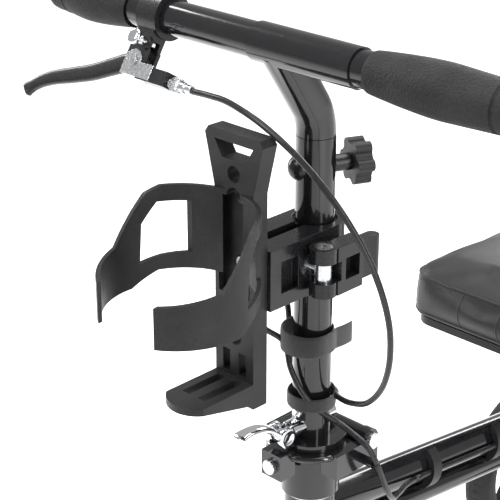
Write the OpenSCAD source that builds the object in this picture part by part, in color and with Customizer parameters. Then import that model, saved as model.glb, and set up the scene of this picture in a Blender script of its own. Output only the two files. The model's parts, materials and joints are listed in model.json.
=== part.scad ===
// Folding knee scooter: four wheels, parallelogram steering, folding column,
// telescopic handlebar stem, height-adjustable knee pad, drum brake, bottle cage.
// +Z is up, -Y is forwards, +X is the rider's left. The floor is Z = 0.

/* [Column and stem] */
// Height of the fold joint's face above the floor
fold_face_z = 446; // [430:1:470]
// Outer diameter of the column tube
column_od = 31.8; // [30:0.1:34]
// Length of the column tube above the fold joint
column_len = 268; // [250:1:320]
// Wall of the column tube
column_wall = 1.7; // [1.5:0.1:2]
// Wall of the stem's spigot
spigot_wall = 2; // [1.5:0.1:3]
// Length of the spigot inside the column
spigot_len = 206; // [190:1:215]
// Upward travel of the stem
stem_travel = 150; // [80:5:155]
// Distance of the stem's clamp bolt below the column's top edge
stem_bolt_drop = 26; // [20:1:32]
// Turn of the stem's clamp bolt away from straight back, to the left
stem_bolt_turn = 25; // [0:5:30]
// Forward lean of the neck
neck_lean = 34; // [25:1:40]
// Bend radius of the neck's centre line
neck_bend_r = 46; // [40:1:60]
// Forward offset of the handlebar from the column's axis
bar_forward = 43; // [38:1:60]

/* [Handlebar] */
// Outer diameter of the handlebar tube
bar_od = 28; // [25:0.1:30]
// Wall of the handlebar tube
bar_wall = 2; // [1.5:0.1:3]
// Length of the handlebar tube
bar_len = 490; // [460:5:560]
// Inner end of the left grip, from the middle of the bar
grip_left_x = 94; // [80:1:110]
// Inner end of the right grip, from the middle of the bar
grip_right_x = 155; // [153:1:170]
// Largest diameter of the grips
grip_od = 40.5; // [36:0.5:46]
// Diameter of the grips at their inner ends
grip_end_od = 32; // [31.5:0.5:34]

/* [Fold joint] */
// Distance of the fold axis behind the column's axis
fold_back = 30; // [29:1:34]
// Diameter of the fold bolt
fold_bolt_d = 8; // [6:1:10]
// Outer diameter of the hinge barrel
hinge_barrel_d = 18; // [16:1:20]
// Half length of the hinge barrel
hinge_half = 32; // [28:1:36]
// Radius of the round top plate of the folding bracket
fold_plate_r = 35; // [34:1:40]
// Height of the skewer above the fold face
skewer_up = 16; // [15:0.5:18]
// Diameter of the skewer
skewer_d = 6; // [5:0.5:6]
// Distance of the cam's axis in front of the column's axis
cam_forward = 37; // [35:1:42]
// Height of the snap button above the fold face
snap_up = 29; // [28.5:0.5:31]

/* [Bottle cage] */
// Height of the clamp's middle above the fold face
clamp_up = 174; // [165:1:185]
// Height of the clamp band
clamp_h = 50; // [44:1:54]
// Outer half width of the clamp band
clamp_half = 24; // [23:0.5:27]
// Thickness of the rubber liner
liner_wall = 2; // [1.5:0.1:2.5]
// Width of the opening between the ring's two arms at the front
ring_gap = 60; // [40:1:70]
// Distance of the cage's back face in front of the column's axis
cage_back = 75; // [70:1:85]
// Thickness of the cage's back plate with its side ribs
cage_depth = 15; // [12:1:18]
// Half width of the cage's back plate
cage_half = 20.5; // [19:0.5:24]
// Inner radius of the bottle ring
ring_r = 57; // [50:0.5:62]
// Wall of the bottle ring
ring_wall = 3.4; // [3:0.1:4.5]

/* [Knee pad] */
// Length of the knee pad
pad_len = 350; // [320:1:380]
// Width of the knee pad
pad_w = 180; // [160:1:200]
// Thickness of the knee pad's cushion
pad_h = 56; // [45:1:60]
// Distance of the pad's front face behind the column's axis
pad_front = 229; // [225:1:245]
// Height of the cushion's lower face
pad_z = 451; // [448:1:455]
// Outer diameter of the seat post
post_od = 28.6; // [26:0.1:30]
// Distance of the seat post behind the column's axis
post_back = 404; // [390:1:420]
// Height of the seat post's lower end
post_low_z = 300; // [285:1:330]
// Height of the knob's bolt through the seat socket
seat_bolt_z = 370; // [350:1:380]

/* [Frame] */
// Outer diameter of the main beam
beam_od = 32; // [30:0.5:38]
// Wall of the main beam
beam_wall = 2; // [1.5:0.1:3]
// Distance of the beam's axis below the fold face, 150 behind the column
beam_drop = 93; // [88:1:100]
// Outer diameter of the lower beam
lower_od = 22; // [20:0.5:26]
// Distance between the axes of the two beams
beam_gap = 31; // [30:0.5:36]
// Outer diameter of the head tube
head_od = 44; // [42:0.5:50]
// Outer diameter of the steerer tube
steerer_od = 28.6; // [26:0.1:30]
// Distance between the axles of the front and the rear wheels
wheelbase = 580; // [570:5:620]

/* [Wheels and steering] */
// Outer diameter of the tyres
wheel_d = 200; // [190:1:204]
// Depth of the tyre from its tread to the rim
tyre_depth = 26; // [22:1:30]
// Width of the tyre's seat on the rim
seat_w = 28; // [24:1:30]
// Wall of the rim's band
rim_wall = 6; // [4:0.5:8]
// Number of spokes
spokes = 5; // [3:1:7]
// Width of the tyres
tyre_w = 32; // [28:1:36]
// Distance between the middles of the left and right tyres
track = 340; // [336:2:370]
// Distance of each kingpin from the scooter's middle
kingpin_x = 125; // [120:1:126]
// Diameter of the axles and kingpins
axle_d = 12; // [10:0.5:13]
// Length of the steering arms
steer_arm = 52; // [48:1:56]

/* [Brake] */
// Inner diameter of the brake drum
drum_d = 72; // [66:1:80]
// Outer diameter of the brake cable's housing
cable_od = 5; // [4:0.5:5]
// Angle of the brake lever's plane, from level
lever_plane = 58; // [54:1:62]

/* [Hidden] */
$fn = 64;

// Clearances
run_gap = 0.05;   // radial clearance of a running or seated fit
face_gap = 0.3;   // gap between faces that pass each other
soft_gap = 0.4;   // gap between a soft piece and its neighbour

// Colours
gloss_black = [0.05, 0.05, 0.055];
satin_black = [0.1, 0.1, 0.105];
rubber_black = [0.14, 0.14, 0.145];
vinyl_black = [0.17, 0.17, 0.18];
chrome = [0.82, 0.83, 0.85];
silver = [0.68, 0.69, 0.71];

// Column and stem
column_r = column_od / 2;
column_bore_r = column_r - column_wall;
column_top_z = fold_face_z + column_len;
spigot_r = column_bore_r - 0.1;
stem_bolt_z = column_top_z - stem_bolt_drop;
stem_bolt_r = 3;
knob_centre = column_r + 20;
knob_half = 7;
skewer_z = fold_face_z + skewer_up;
snap_z = fold_face_z + snap_up;
snap_r = 4;

// Neck: a short upright stretch, a bend, then a straight lean to the bar
neck_tangent = neck_bend_r * tan(neck_lean / 2);
neck_slope_len = bar_forward / sin(neck_lean);
neck_start_z = column_top_z + 1;
bar_z = neck_start_z + neck_tangent + bar_forward / tan(neck_lean);
bar_r = bar_od / 2;
bar_half = bar_len / 2;
bar_axis = [0, -bar_forward, bar_z];
sleeve_r = bar_r + 1.5;

// Fold joint
fold_y = fold_back;
barrel_r = hinge_barrel_d / 2;
fold_bolt_r = fold_bolt_d / 2;
ear_t = 8;
ear_r = barrel_r + 1;
foot_t = 6;

// Bottle cage
clamp_z = fold_face_z + clamp_up;
cage_front = cage_back + cage_depth;
ring_y = -(cage_front + ring_r);
cage_foot_z = fold_face_z + 91;
cage_low_z = fold_face_z + 69;
cage_top_z = fold_face_z + 291;
cage_foot_reach = 53;
cage_screw_z = fold_face_z + 186;
clamp_bolt_y = -30;
clamp_bolt_r = 3;
clamp_barrel_r = 7;
clamp_barrel_x = clamp_half + 12.8;

// Frame
beam_r = beam_od / 2;
lower_r = lower_od / 2;
beam_slope = 0.144;
head_r = head_od / 2;
head_bore_r = 17;
steerer_r = steerer_od / 2;
bearing_flange = 2.5;
plate_t = 6;
cup_z = fold_face_z - 48;
head_top_z = cup_z - face_gap - bearing_flange;
head_low_z = 130;
axle_z = wheel_d / 2;
axle_r = axle_d / 2;
wheel_x = track / 2;
hub_half = 20;
rear_y = wheelbase;
post_r = post_od / 2;
post_y = post_back;
socket_top_z = 395;
socket_low_z = 262;
function beam_at(y) = fold_face_z - beam_drop - beam_slope * (y - 150);
beam_tail_y = rear_y - 50;

// Steering
king_low_z = axle_z + 12;
king_high_z = king_low_z + 50;
king_boss_r = 13;
eye_r = 9;
eye_t = 8;
rod_low_z = axle_z - 7.6;
rod_high_z = rod_low_z + eye_t + 0.8;
pitman_z = rod_high_z + eye_t + 0.4;
pitman_t = 8;
tie_bolt_r = 4;

// Brake lever: its own frame has the pivot at the origin, x along the bar,
// y towards the bar and z along the pivot
lever_pivot_pos = [-125, -(bar_forward + 32), bar_z - 30];
bar_in_lever = [
    0,
    32 * cos(lever_plane) + 30 * sin(lever_plane),
    -32 * sin(lever_plane) + 30 * cos(lever_plane)
];
lever_z = -8;
lever_t = 8;

// Brake
drum_r = drum_d / 2;
drum_wall = 4;
drum_in_x = wheel_x - hub_half - 17;
backplate_t = 3.5;
brake_cam_y = rear_y + 24;
brake_arm_len = 45;

// Knee pad
pad_half = pad_w / 2;
board_t = 8;
board_z = pad_z - soft_gap - board_t;
post_plate_t = 4;
post_plate_z = board_z - post_plate_t;

// Middle of the box around the whole scooter, from front to back
front_reach = sqrt(pow(ring_r + ring_wall, 2) - pow(ring_gap / 2, 2)) - ring_y;
column_y = (front_reach - (rear_y + wheel_d / 2)) / 2;

// Route of the brake cable, from the adjuster at the lever to the drum brake
cable_r = cable_od / 2;
cable_route = [
    [-60, -73.5, 751.5], [-40, -75, 753], [-16, -77, 753], [20, -78, 744], [56, -73, 722], [86, -65, 690],
    [106, -55, 652], [115, -46, 612], [112, -38, 575], [98, -28, 541], [74, -16, 513], [46, -4, 497],
    [24, 5, 491], [12, 16, 488], [-4, 19.6, 488], [-17, 10, 494], [-22, 2, 510],
    [-27, 2, 536], [-32, 2, 564], [-37, -8, 586], [-39, -26, 594], [-37, -44, 588], [-31, -48, 570],
    [-22, -35, 552], [-14, -19, 536], [-5, -20.5, 516], [6, -19.5, 499], [15, -14, 486], [19.6, -4, 475],
    [23, 6, 466],
    [34, 11, 459], [50, 15, 449], [56, 20, 434],
    [57, 30, 410], [50, 50, 384], [32, 82, 366], [20, 120, 358],
    [19.5, 200, 346.5], [19.5, 300, 332], [20, 345, 325.5], [25, 404, 317], [19.5, 460, 309], [22, 500, 300],
    [36, 526, 276], [62, 530, 236], [92, 532, 196], [114, 534, 162], [121, 538, 146], [121, 550.5, 145]
];
loop_end = 12;
column_end = 29;
fold_end = 32;
steer_end = 36;
route_end = len(cable_route) - 1;

// ---------------------------------------------------------------- helpers

// Places children made about the column's axis into the scooter's frame
module at_column() {
    translate([0, column_y, 0]) children();
}

// Cylinder along X from x0 to x1
module rod_x(r, x0, x1) {
    translate([x0, 0, 0]) rotate([0, 90, 0]) cylinder(r = r, h = x1 - x0);
}

// Cylinder along Y from y0 to y1
module rod_y(r, y0, y1) {
    translate([0, y0, 0]) rotate([-90, 0, 0]) cylinder(r = r, h = y1 - y0);
}

// Cylinder between two points
module strut(p, q, r) {
    d = q - p;
    translate(p) rotate([0, acos(d.z / norm(d)), atan2(d.y, d.x)]) cylinder(r = r, h = norm(d));
}

// Hollow round tube along Z
module tube(r_out, r_in, h) {
    difference() {
        cylinder(r = r_out, h = h);
        translate([0, 0, -1]) cylinder(r = r_in, h = h + 2);
    }
}

// Hexagonal nut along Z with its bore
module nut(across, h, bore_r) {
    difference() {
        cylinder(r = across / 2 / cos(30), h = h, $fn = 6);
        translate([0, 0, -1]) cylinder(r = bore_r, h = h + 2);
    }
}

// Block from one corner to the opposite one
module block(low, high) {
    translate(low) cube(high - low);
}

// Child and its mirror image across the scooter's middle
module both_sides() {
    children();
    mirror([1, 0, 0]) children();
}

// Brake lever's own frame
module in_lever_frame() {
    translate(lever_pivot_pos) rotate([lever_plane, 0, 0]) children();
}

// Point of a smooth curve through four points, between the middle two
function curve_point(a, b, c, d, t) =
    0.5 * (2 * b + (c - a) * t + (2 * a - 5 * b + 4 * c - d) * t * t + (3 * b - a - 3 * c + d) * t * t * t);

// Centre line of the cable, with the given number of steps between its points
function smooth_route(p, steps) = [
    for (i = [0 : len(p) - 2]) for (k = [0 : steps - 1])
        curve_point(p[max(i - 1, 0)], p[i], p[i + 1], p[min(i + 2, len(p) - 1)], k / steps),
    p[len(p) - 1]
];

function unit(v) = v / norm(v);
function tangent(p, i) = unit(p[min(i + 1, len(p) - 1)] - p[max(i - 1, 0)]);

// Normals carried along the line without twist
function carried_normals(p) = [
    for (i = 0, n = unit(cross(tangent(p, 0), [0, 0, 1]));
         i < len(p);
         i = i + 1, n = unit(n - (n * tangent(p, min(i, len(p) - 1))) * tangent(p, min(i, len(p) - 1)))) n
];

cable_line = smooth_route(cable_route, 2);
cable_normals = carried_normals(cable_line);
cable_sides = 8;

// Stretch of the cable between two of its route points, as one closed sweep
module cable_stretch(first, last) {
    a = first * 2;
    rings = (last - first) * 2 + 1;
    points = [
        for (i = [0 : rings - 1]) let (
            t = tangent(cable_line, a + i), n = cable_normals[a + i], b = cross(t, n)
        ) for (k = [0 : cable_sides - 1])
            cable_line[a + i] + cable_r * (cos(360 * k / cable_sides) * n + sin(360 * k / cable_sides) * b)
    ];
    sides = [
        for (i = [0 : rings - 2]) for (k = [0 : cable_sides - 1]) let (
            j = (k + 1) % cable_sides, low = i * cable_sides, high = low + cable_sides
        ) each [[low + k, high + k, high + j], [low + k, high + j, low + j]]
    ];
    start_cap = [[for (k = [0 : cable_sides - 1]) k]];
    end_cap = [[for (k = [0 : cable_sides - 1]) rings * cable_sides - 1 - k]];
    polyhedron(points, concat(sides, start_cap, end_cap));
}

// ---------------------------------------------------------------- frame

module main_frame() {
    beam_head = [0, 0, beam_at(0)];
    beam_tail = [0, beam_tail_y, beam_at(beam_tail_y)];
    drop = [0, 0, -beam_gap];
    axle_joint = [0, rear_y, axle_z];
    arm_z = head_low_z + king_boss_r + 1;
    color(gloss_black) at_column() difference() {
        union() {
            translate([0, 0, head_low_z]) cylinder(r = head_r, h = head_top_z - head_low_z);
            strut(beam_head, beam_tail, beam_r);
            strut(beam_head + drop, beam_tail + drop, lower_r);
            strut(beam_tail, axle_joint, lower_r + 3);
            translate(axle_joint) rod_x(axle_r + 7, -drum_in_x, drum_in_x);
            translate([0, 0, arm_z]) rod_x(king_boss_r, -kingpin_x, kingpin_x);
            both_sides() translate([kingpin_x, 0, king_low_z]) cylinder(r = king_boss_r, h = king_high_z - king_low_z);
            translate([0, post_y, socket_low_z]) cylinder(r = post_r + 4.5, h = socket_top_z - socket_low_z);
            translate([0, post_y, seat_bolt_z]) rod_x(9, 0, post_r + 12);
        }
        translate([0, 0, head_low_z - 1]) cylinder(r = head_bore_r, h = head_top_z - head_low_z + 2);
        strut(beam_head, beam_tail + [0, 2, -2 * beam_slope], beam_r - beam_wall);
        strut(beam_head + drop, beam_tail + drop + [0, -20, 20 * beam_slope], lower_r - beam_wall);
        translate(axle_joint) rod_x(axle_r + run_gap, -drum_in_x - 1, drum_in_x + 1);
        both_sides() translate([kingpin_x, 0, king_low_z - 1])
            cylinder(r = axle_r + run_gap, h = king_high_z - king_low_z + 2);
        translate([0, post_y, socket_low_z - 1]) cylinder(r = post_r + run_gap, h = socket_top_z - socket_low_z + 2);
        translate([0, post_y, seat_bolt_z]) rod_x(4 + run_gap, post_r, post_r + 14);
    }
}

module head_bearings() {
    color(silver) at_column() {
        translate([0, 0, head_top_z]) mirror([0, 0, 1]) head_bearing();
        translate([0, 0, head_low_z]) head_bearing();
    }
}

// One head bearing: its flange below z 0, where the head tube ends, and its cup in the bore above
module head_bearing() difference() {
    union() {
        translate([0, 0, -bearing_flange]) cylinder(r = head_r, h = bearing_flange);
        cylinder(r = head_bore_r - run_gap, h = 14);
    }
    translate([0, 0, -20]) cylinder(r = steerer_r + run_gap, h = 40);
}

module rear_axle() {
    reach = wheel_x + hub_half;
    spacer_x = drum_in_x + backplate_t + 0.3;
    color(silver) at_column() translate([0, rear_y, axle_z]) {
        rod_x(axle_r, -reach - 9, reach + 9);
        both_sides() translate([reach + face_gap, 0, 0]) rotate([0, 90, 0]) nut(18, 9, axle_r + run_gap);
        both_sides() translate([spacer_x, 0, 0]) rotate([0, 90, 0])
            tube(axle_r + 4, axle_r + run_gap, wheel_x - hub_half - spacer_x - face_gap);
    }
}

// ---------------------------------------------------------------- wheels

// Wheel rim about its own axle along X: a band, the spoked centre seated in it, and two bearings
module rim() {
    band_r = wheel_d / 2 - tyre_depth;
    centre_r = band_r - rim_wall - run_gap;
    bearing_r = 14;
    color(satin_black) {
        rotate([0, 90, 0]) rotate_extrude() translate([band_r - rim_wall, -seat_w / 2]) square([rim_wall, seat_w]);
        difference() {
            union() {
                rod_x(18, -hub_half, hub_half);
                intersection() {
                    rod_x(centre_r, -7, 7);
                    for (i = [0 : spokes - 1]) rotate([360 / spokes * i, 0, 0]) block([-6, -7, 15], [6, 7, band_r]);
                }
            }
            rod_x(8, -hub_half - 1, hub_half + 1);
            for (x = [-hub_half - 1, hub_half - 8]) rod_x(bearing_r, x, x + 9);
        }
        for (x = [-hub_half, hub_half - 8]) difference() {
            rod_x(bearing_r - run_gap, x + 0.1, x + 7.9);
            rod_x(axle_r + run_gap, x - 1, x + 9);
        }
    }
}

// Tyre about its own axle along X
module tyre() {
    crown = tyre_w / 2;
    seat_r = wheel_d / 2 - tyre_depth + run_gap;
    color(rubber_black) rotate([0, 90, 0]) rotate_extrude() {
        translate([seat_r, -seat_w / 2]) square([10, seat_w]);
        intersection() {
            translate([wheel_d / 2 - crown, 0]) circle(crown);
            translate([seat_r, -crown]) square([40, tyre_w]);
        }
    }
}

module front_wheel_at(side) at_column() translate([side * wheel_x, 0, axle_z]) children();
module rear_wheel_at(side) at_column() translate([side * wheel_x, rear_y, axle_z]) children();

module rim_front_left() front_wheel_at(1) rim();
module rim_front_right() front_wheel_at(-1) rim();
module rim_rear_left() rear_wheel_at(1) rim();
module rim_rear_right() rear_wheel_at(-1) rim();
module tyre_front_left() front_wheel_at(1) tyre();
module tyre_front_right() front_wheel_at(-1) tyre();
module tyre_rear_left() rear_wheel_at(1) tyre();
module tyre_rear_right() rear_wheel_at(-1) tyre();

// ---------------------------------------------------------------- steering

// Knuckle of one side: block, kingpin, stub axle and steering arm
module knuckle(side, arm_z) {
    block_r = 15;
    color(gloss_black) at_column() translate([side * kingpin_x, 0, 0]) difference() {
        union() {
            translate([0, 0, axle_z - 16]) cylinder(r = block_r, h = king_low_z - face_gap - axle_z + 16);
            translate([0, 0, axle_z]) cylinder(r = axle_r, h = king_high_z + 13 - axle_z);
            translate([0, 0, axle_z]) scale([side, 1, 1]) stub_axle();
            block([-eye_r, 0, arm_z - 6], [eye_r, steer_arm, arm_z]);
            translate([0, steer_arm, arm_z - 6]) cylinder(r = eye_r, h = 6);
        }
        translate([0, steer_arm, arm_z - 7]) cylinder(r = tie_bolt_r + run_gap, h = 8);
    }
}

// Stub axle from the kingpin's axis towards +X, with its shoulder
module stub_axle() {
    hub_in = wheel_x - hub_half - kingpin_x;
    rod_x(axle_r, 0, wheel_x + hub_half + 9 - kingpin_x);
    rod_x(axle_r + 3, 0, hub_in - face_gap);
}

module knuckle_left() knuckle(1, rod_low_z - 0.4);
module knuckle_right() knuckle(-1, rod_high_z - 0.4);

// Nuts and the tie rod bolt of one knuckle
module knuckle_nuts(side, rod_z) {
    color(silver) at_column() {
        translate([side * kingpin_x, 0, king_high_z + face_gap]) nut(18, 9, axle_r + run_gap);
        translate([side * (wheel_x + hub_half + face_gap + (side < 0 ? 9 : 0)), 0, axle_z])
            rotate([0, 90, 0]) nut(18, 9, axle_r + run_gap);
        translate([side * kingpin_x, steer_arm, 0]) {
            translate([0, 0, rod_z - 6.4]) cylinder(r = tie_bolt_r, h = eye_t + 6.4 + 1);
            translate([0, 0, rod_z - 11.5]) cylinder(r = 7, h = 5);
            translate([0, 0, rod_z + eye_t + 0.4]) cylinder(r = 7, h = 5);
        }
    }
}

module knuckle_nuts_left() knuckle_nuts(1, rod_low_z);
module knuckle_nuts_right() knuckle_nuts(-1, rod_high_z);

// Tie rod from the pitman arm's bolt to one knuckle's arm
module tie_rod(side, rod_z) {
    color(gloss_black) at_column() translate([0, steer_arm, rod_z]) difference() {
        union() {
            for (x = [0, side * kingpin_x]) translate([x, 0, 0]) cylinder(r = eye_r, h = eye_t);
            translate([0, 0, eye_t / 2]) rod_x(eye_t / 2 - 0.3, side > 0 ? 4 : 4 - kingpin_x, side > 0 ? kingpin_x - 4 : -4);
        }
        translate([0, 0, -1]) cylinder(r = tie_bolt_r + run_gap, h = eye_t + 2);
        translate([side * kingpin_x, 0, -1]) cylinder(r = tie_bolt_r + face_gap, h = eye_t + 2);
    }
}

module tie_rod_left() tie_rod(1, rod_low_z);
module tie_rod_right() tie_rod(-1, rod_high_z);

module pitman_arm() {
    color(gloss_black) at_column() {
        difference() {
            union() {
                translate([0, 0, pitman_z]) cylinder(r = 21, h = head_low_z - bearing_flange - face_gap - pitman_z);
                block([-eye_r, 0, pitman_z], [eye_r, steer_arm, pitman_z + pitman_t]);
                translate([0, steer_arm, pitman_z]) cylinder(r = eye_r, h = pitman_t);
            }
            translate([0, 0, pitman_z - 1]) cylinder(r = steerer_r + run_gap, h = 30);
            translate([0, steer_arm, pitman_z - 1]) cylinder(r = tie_bolt_r + run_gap, h = pitman_t + 2);
        }
        translate([0, steer_arm, 0]) {
            translate([0, 0, rod_low_z]) cylinder(r = tie_bolt_r, h = pitman_z + pitman_t - rod_low_z);
            translate([0, 0, pitman_z + pitman_t]) cylinder(r = 7, h = 5);
            translate([0, 0, rod_low_z - 5.4]) cylinder(r = 7, h = 5);
            translate([0, 0, rod_low_z - 0.5]) cylinder(r = tie_bolt_r, h = 1);
        }
    }
}

// Steerer tube, folding bracket with its rolled rim, hinge ears and locking fork
module steerer() {
    base_z = fold_face_z - plate_t;
    ear_in = hinge_half + 0.4;
    ear_out = ear_in + ear_t;
    color(gloss_black) at_column() difference() {
        union() {
            translate([0, 0, pitman_z]) cylinder(r = steerer_r, h = cup_z - pitman_z + 1);
            translate([0, 0, cup_z]) cylinder(r = 25, h = base_z - cup_z + 1);
            translate([0, 0, base_z]) cylinder(r = fold_plate_r, h = plate_t);
            translate([0, 0, base_z + plate_t / 2]) rotate_extrude() translate([fold_plate_r, 0]) circle(plate_t / 2);
            both_sides() {
                block([18, -12, fold_face_z - 22], [ear_out, 18, base_z + plate_t]);
                block([ear_in, 10, fold_face_z - 22], [ear_out, fold_y + ear_r, fold_face_z]);
                translate([0, fold_y, fold_face_z]) rod_x(ear_r, ear_in, ear_out);
            }
            block([-11, -fold_plate_r - 13, fold_face_z - 20], [11, -fold_back - 1, fold_face_z + 3]);
            block([-9, 0, base_z], [9, 8, skewer_z + 6]);
            translate([ear_out, 20, fold_face_z - 14]) rod_x(4, -2, 56 - cable_r - soft_gap - ear_out);
        }
        translate([0, fold_y, fold_face_z]) {
            rod_x(barrel_r + 0.8, -ear_in, ear_in);
            rod_x(fold_bolt_r + run_gap, -ear_out - 1, ear_out + 1);
        }
        block([-ear_in, 18, fold_face_z - 5], [ear_in, fold_y + ear_r + 1, fold_face_z + 20]);
        block([-skewer_d / 2 - 0.4, -1, skewer_z - skewer_d / 2 - 0.6], [skewer_d / 2 + 0.4, 9, skewer_z + 7]);
        translate([0, 0, pitman_z - 1]) cylinder(r = steerer_r - 2.5, h = base_z - pitman_z - 10);
        translate([0, 0, fold_face_z - 9]) rod_y(4 + run_gap, -fold_plate_r - 14, -fold_plate_r + 4);
    }
}

// Hinge bolt with its nut, and the catch block's bolt
module fold_bolt() {
    reach = hinge_half + 0.4 + ear_t;
    color(silver) at_column() {
        translate([0, fold_y, fold_face_z]) {
            rod_x(fold_bolt_r, -reach - 6, reach);
            rod_x(7, reach, reach + 5);
            translate([-reach - 6.1, 0, 0]) rotate([0, 90, 0]) nut(12, 6, fold_bolt_r + run_gap);
        }
        translate([0, 0, fold_face_z - 9]) {
            rod_y(4, -fold_plate_r - 13, -fold_plate_r + 3);
            rod_y(6.5, -fold_plate_r - 17, -fold_plate_r - 13);
        }
    }
}

// ---------------------------------------------------------------- column

module column_tube() {
    color(gloss_black) at_column() difference() {
        translate([0, 0, fold_face_z + face_gap]) cylinder(r = column_r, h = column_len - face_gap);
        translate([0, 0, fold_face_z - 1]) cylinder(r = column_bore_r, h = column_len + 2);
        translate([0, 0, skewer_z]) rod_y(skewer_d / 2 + run_gap, -20, 20);
        translate([0, 0, snap_z]) rod_y(snap_r + run_gap, -20, 0);
        translate([0, 0, stem_bolt_z]) rotate([0, 0, -stem_bolt_turn]) rod_y(stem_bolt_r + run_gap, -20, 20);
    }
}

module column_foot() {
    low = fold_face_z + face_gap;
    color(gloss_black) at_column() difference() {
        union() {
            translate([0, 0, low]) cylinder(r = fold_back, h = foot_t);
            block([-hinge_half + 8, 0, low], [hinge_half - 8, fold_y, low + foot_t]);
            translate([0, fold_y, fold_face_z]) rod_x(barrel_r, -hinge_half, hinge_half);
        }
        translate([0, 0, low - 12]) cylinder(r = column_r + run_gap, h = foot_t + 20);
        translate([0, fold_y, fold_face_z]) rod_x(fold_bolt_r + run_gap, -hinge_half - 1, hinge_half + 1);
    }
}

module fold_skewer() {
    color(chrome) at_column() translate([0, 0, skewer_z]) {
        difference() {
            union() {
                rod_y(skewer_d / 2, -cam_forward, column_r + 8);
                translate([0, -cam_forward, 0]) rod_x(5.5, -4, 4);
            }
            translate([0, -cam_forward, 0]) rod_x(2.5 + run_gap, -5, 5);
        }
        difference() {
            rod_y(8, -cam_forward + 9.4, -10);
            rod_y(skewer_d / 2 + run_gap, -40, 0);
            translate([0, 0, -20]) cylinder(r = column_r + run_gap, h = 40);
        }
        difference() {
            rod_y(8, 10, column_r + 8);
            rod_y(skewer_d / 2 + run_gap, 0, 40);
            translate([0, 0, -20]) cylinder(r = column_r + run_gap, h = 40);
        }
    }
}

module fold_lever() {
    cheek = 9;
    blade = [[-7, -3], [-14, -4], [-26, -1], [-38, 6], [-49, 14], [-50, 18], [-47, 19.5], [-36, 13],
             [-24, 6], [-13, 4.5], [-7, 5]];
    color(chrome) at_column() translate([0, -cam_forward, skewer_z]) {
        both_sides() rod_x(cheek, 4.3, 9.5);
        rod_x(2.5, -9.5, 9.5);
        rotate([90, 0, 90]) translate([0, 0, -9.5]) linear_extrude(19) polygon(blade);
    }
}

module snap_button() {
    color(chrome) at_column() translate([0, 0, snap_z]) {
        rod_y(snap_r, -column_r - 2.5, -column_bore_r + 1);
        translate([0, -column_r - 2.5, 0]) rotate([90, 0, 0]) cylinder(r1 = snap_r, r2 = snap_r - 1.2, h = 1.2);
        rod_y(snap_r + 1.5, -column_bore_r + 2, -column_bore_r + 4);
        rod_y(snap_r, -column_bore_r + 0.9, -column_bore_r + 2.1);
    }
}

// Hook-and-loop strap: a round band set a little to one side, where the cable passes
module strap(up, wide, inner_r, shift, turn) {
    translate([0, 0, fold_face_z + up - wide / 2]) rotate([0, 0, turn]) translate([shift, 0, 0])
        tube(inner_r + 1.5, inner_r, wide);
}

module lower_strap() {
    color(rubber_black) at_column() strap(40, 12, column_r + 3.1, 2.9, -45);
}

// The loose upper strap, with its free end sticking out to the left
module upper_strap() {
    wide = 19;
    inner_r = column_r + 4.8;
    color(rubber_black) at_column() {
        strap(94, wide, inner_r, 4.6, -115);
        translate([0, 0, fold_face_z + 94]) rotate([0, 0, -115]) translate([4.6, 0, 0]) rotate([0, 0, 135])
            block([inner_r + 1.55, -1.6, -wide / 2 + 0.5], [inner_r + 20, 0, wide / 2 - 0.5]);
    }
}

// ---------------------------------------------------------------- bottle cage

module cage_clamp() {
    low = clamp_z - clamp_h / 2;
    liner_r = column_r + run_gap + liner_wall;
    color(satin_black) at_column() difference() {
        union() {
            translate([0, 0, low]) cylinder(r = clamp_half, h = clamp_h);
            block([-clamp_half, -cage_back, low], [clamp_half, 0, low + clamp_h]);
        }
        translate([0, 0, low - 1]) cylinder(r = liner_r + run_gap, h = clamp_h + 2);
        block([-5, -cage_back + 18, low - 1], [5, -10, low + clamp_h + 1]);
        translate([0, clamp_bolt_y, clamp_z]) rod_x(clamp_bolt_r + run_gap, -clamp_half - 1, clamp_half + 1);
        both_sides() block([clamp_half - 7, -cage_back + 12, clamp_z - 13], [clamp_half + 1, clamp_bolt_y - 14, clamp_z + 13]);
        translate([0, 0, cage_screw_z]) rod_y(2.5 + run_gap, -cage_back - 1, -cage_back + 14);
    }
}

module clamp_liner() {
    color(rubber_black) at_column() difference() {
        translate([0, 0, clamp_z - clamp_h / 2 + 2])
            tube(column_r + run_gap + liner_wall, column_r + run_gap, clamp_h - 4);
        block([-3, -30, clamp_z - clamp_h], [3, 0, clamp_z + clamp_h]);
    }
}

module clamp_bolt() {
    color(silver) at_column() translate([0, clamp_bolt_y, clamp_z]) {
        rod_x(clamp_bolt_r, -clamp_half - 5, clamp_barrel_x);
        translate([-clamp_half - 6, 0, 0]) rod_x(6, 0, 6);
        translate([clamp_barrel_x, 0, -20]) cylinder(r = clamp_barrel_r, h = 40);
        difference() {
            rod_x(10, clamp_half, clamp_half + 1.5);
            rod_x(clamp_bolt_r + run_gap, clamp_half - 1, clamp_half + 3);
        }
    }
}

module clamp_lever() {
    eye = clamp_barrel_r + 4;
    color(satin_black) at_column() translate([clamp_barrel_x, clamp_bolt_y, clamp_z]) difference() {
        union() {
            translate([0, 0, -20]) cylinder(r = eye, h = 40);
            block([-4, 5, -20], [eye, 34, 20]);
            block([-2, 33, -16], [eye - 2, 52, 16]);
            translate([4, 52, -16]) cylinder(r = 6, h = 32);
        }
        translate([0, 0, -21]) cylinder(r = clamp_barrel_r + run_gap, h = 42);
        block([-eye - 1, -eye - 1, -8], [eye + 1, clamp_barrel_r + 2, 8]);
        block([1, 14, -9], [eye + 1, 30, 9]);
    }
}

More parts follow.
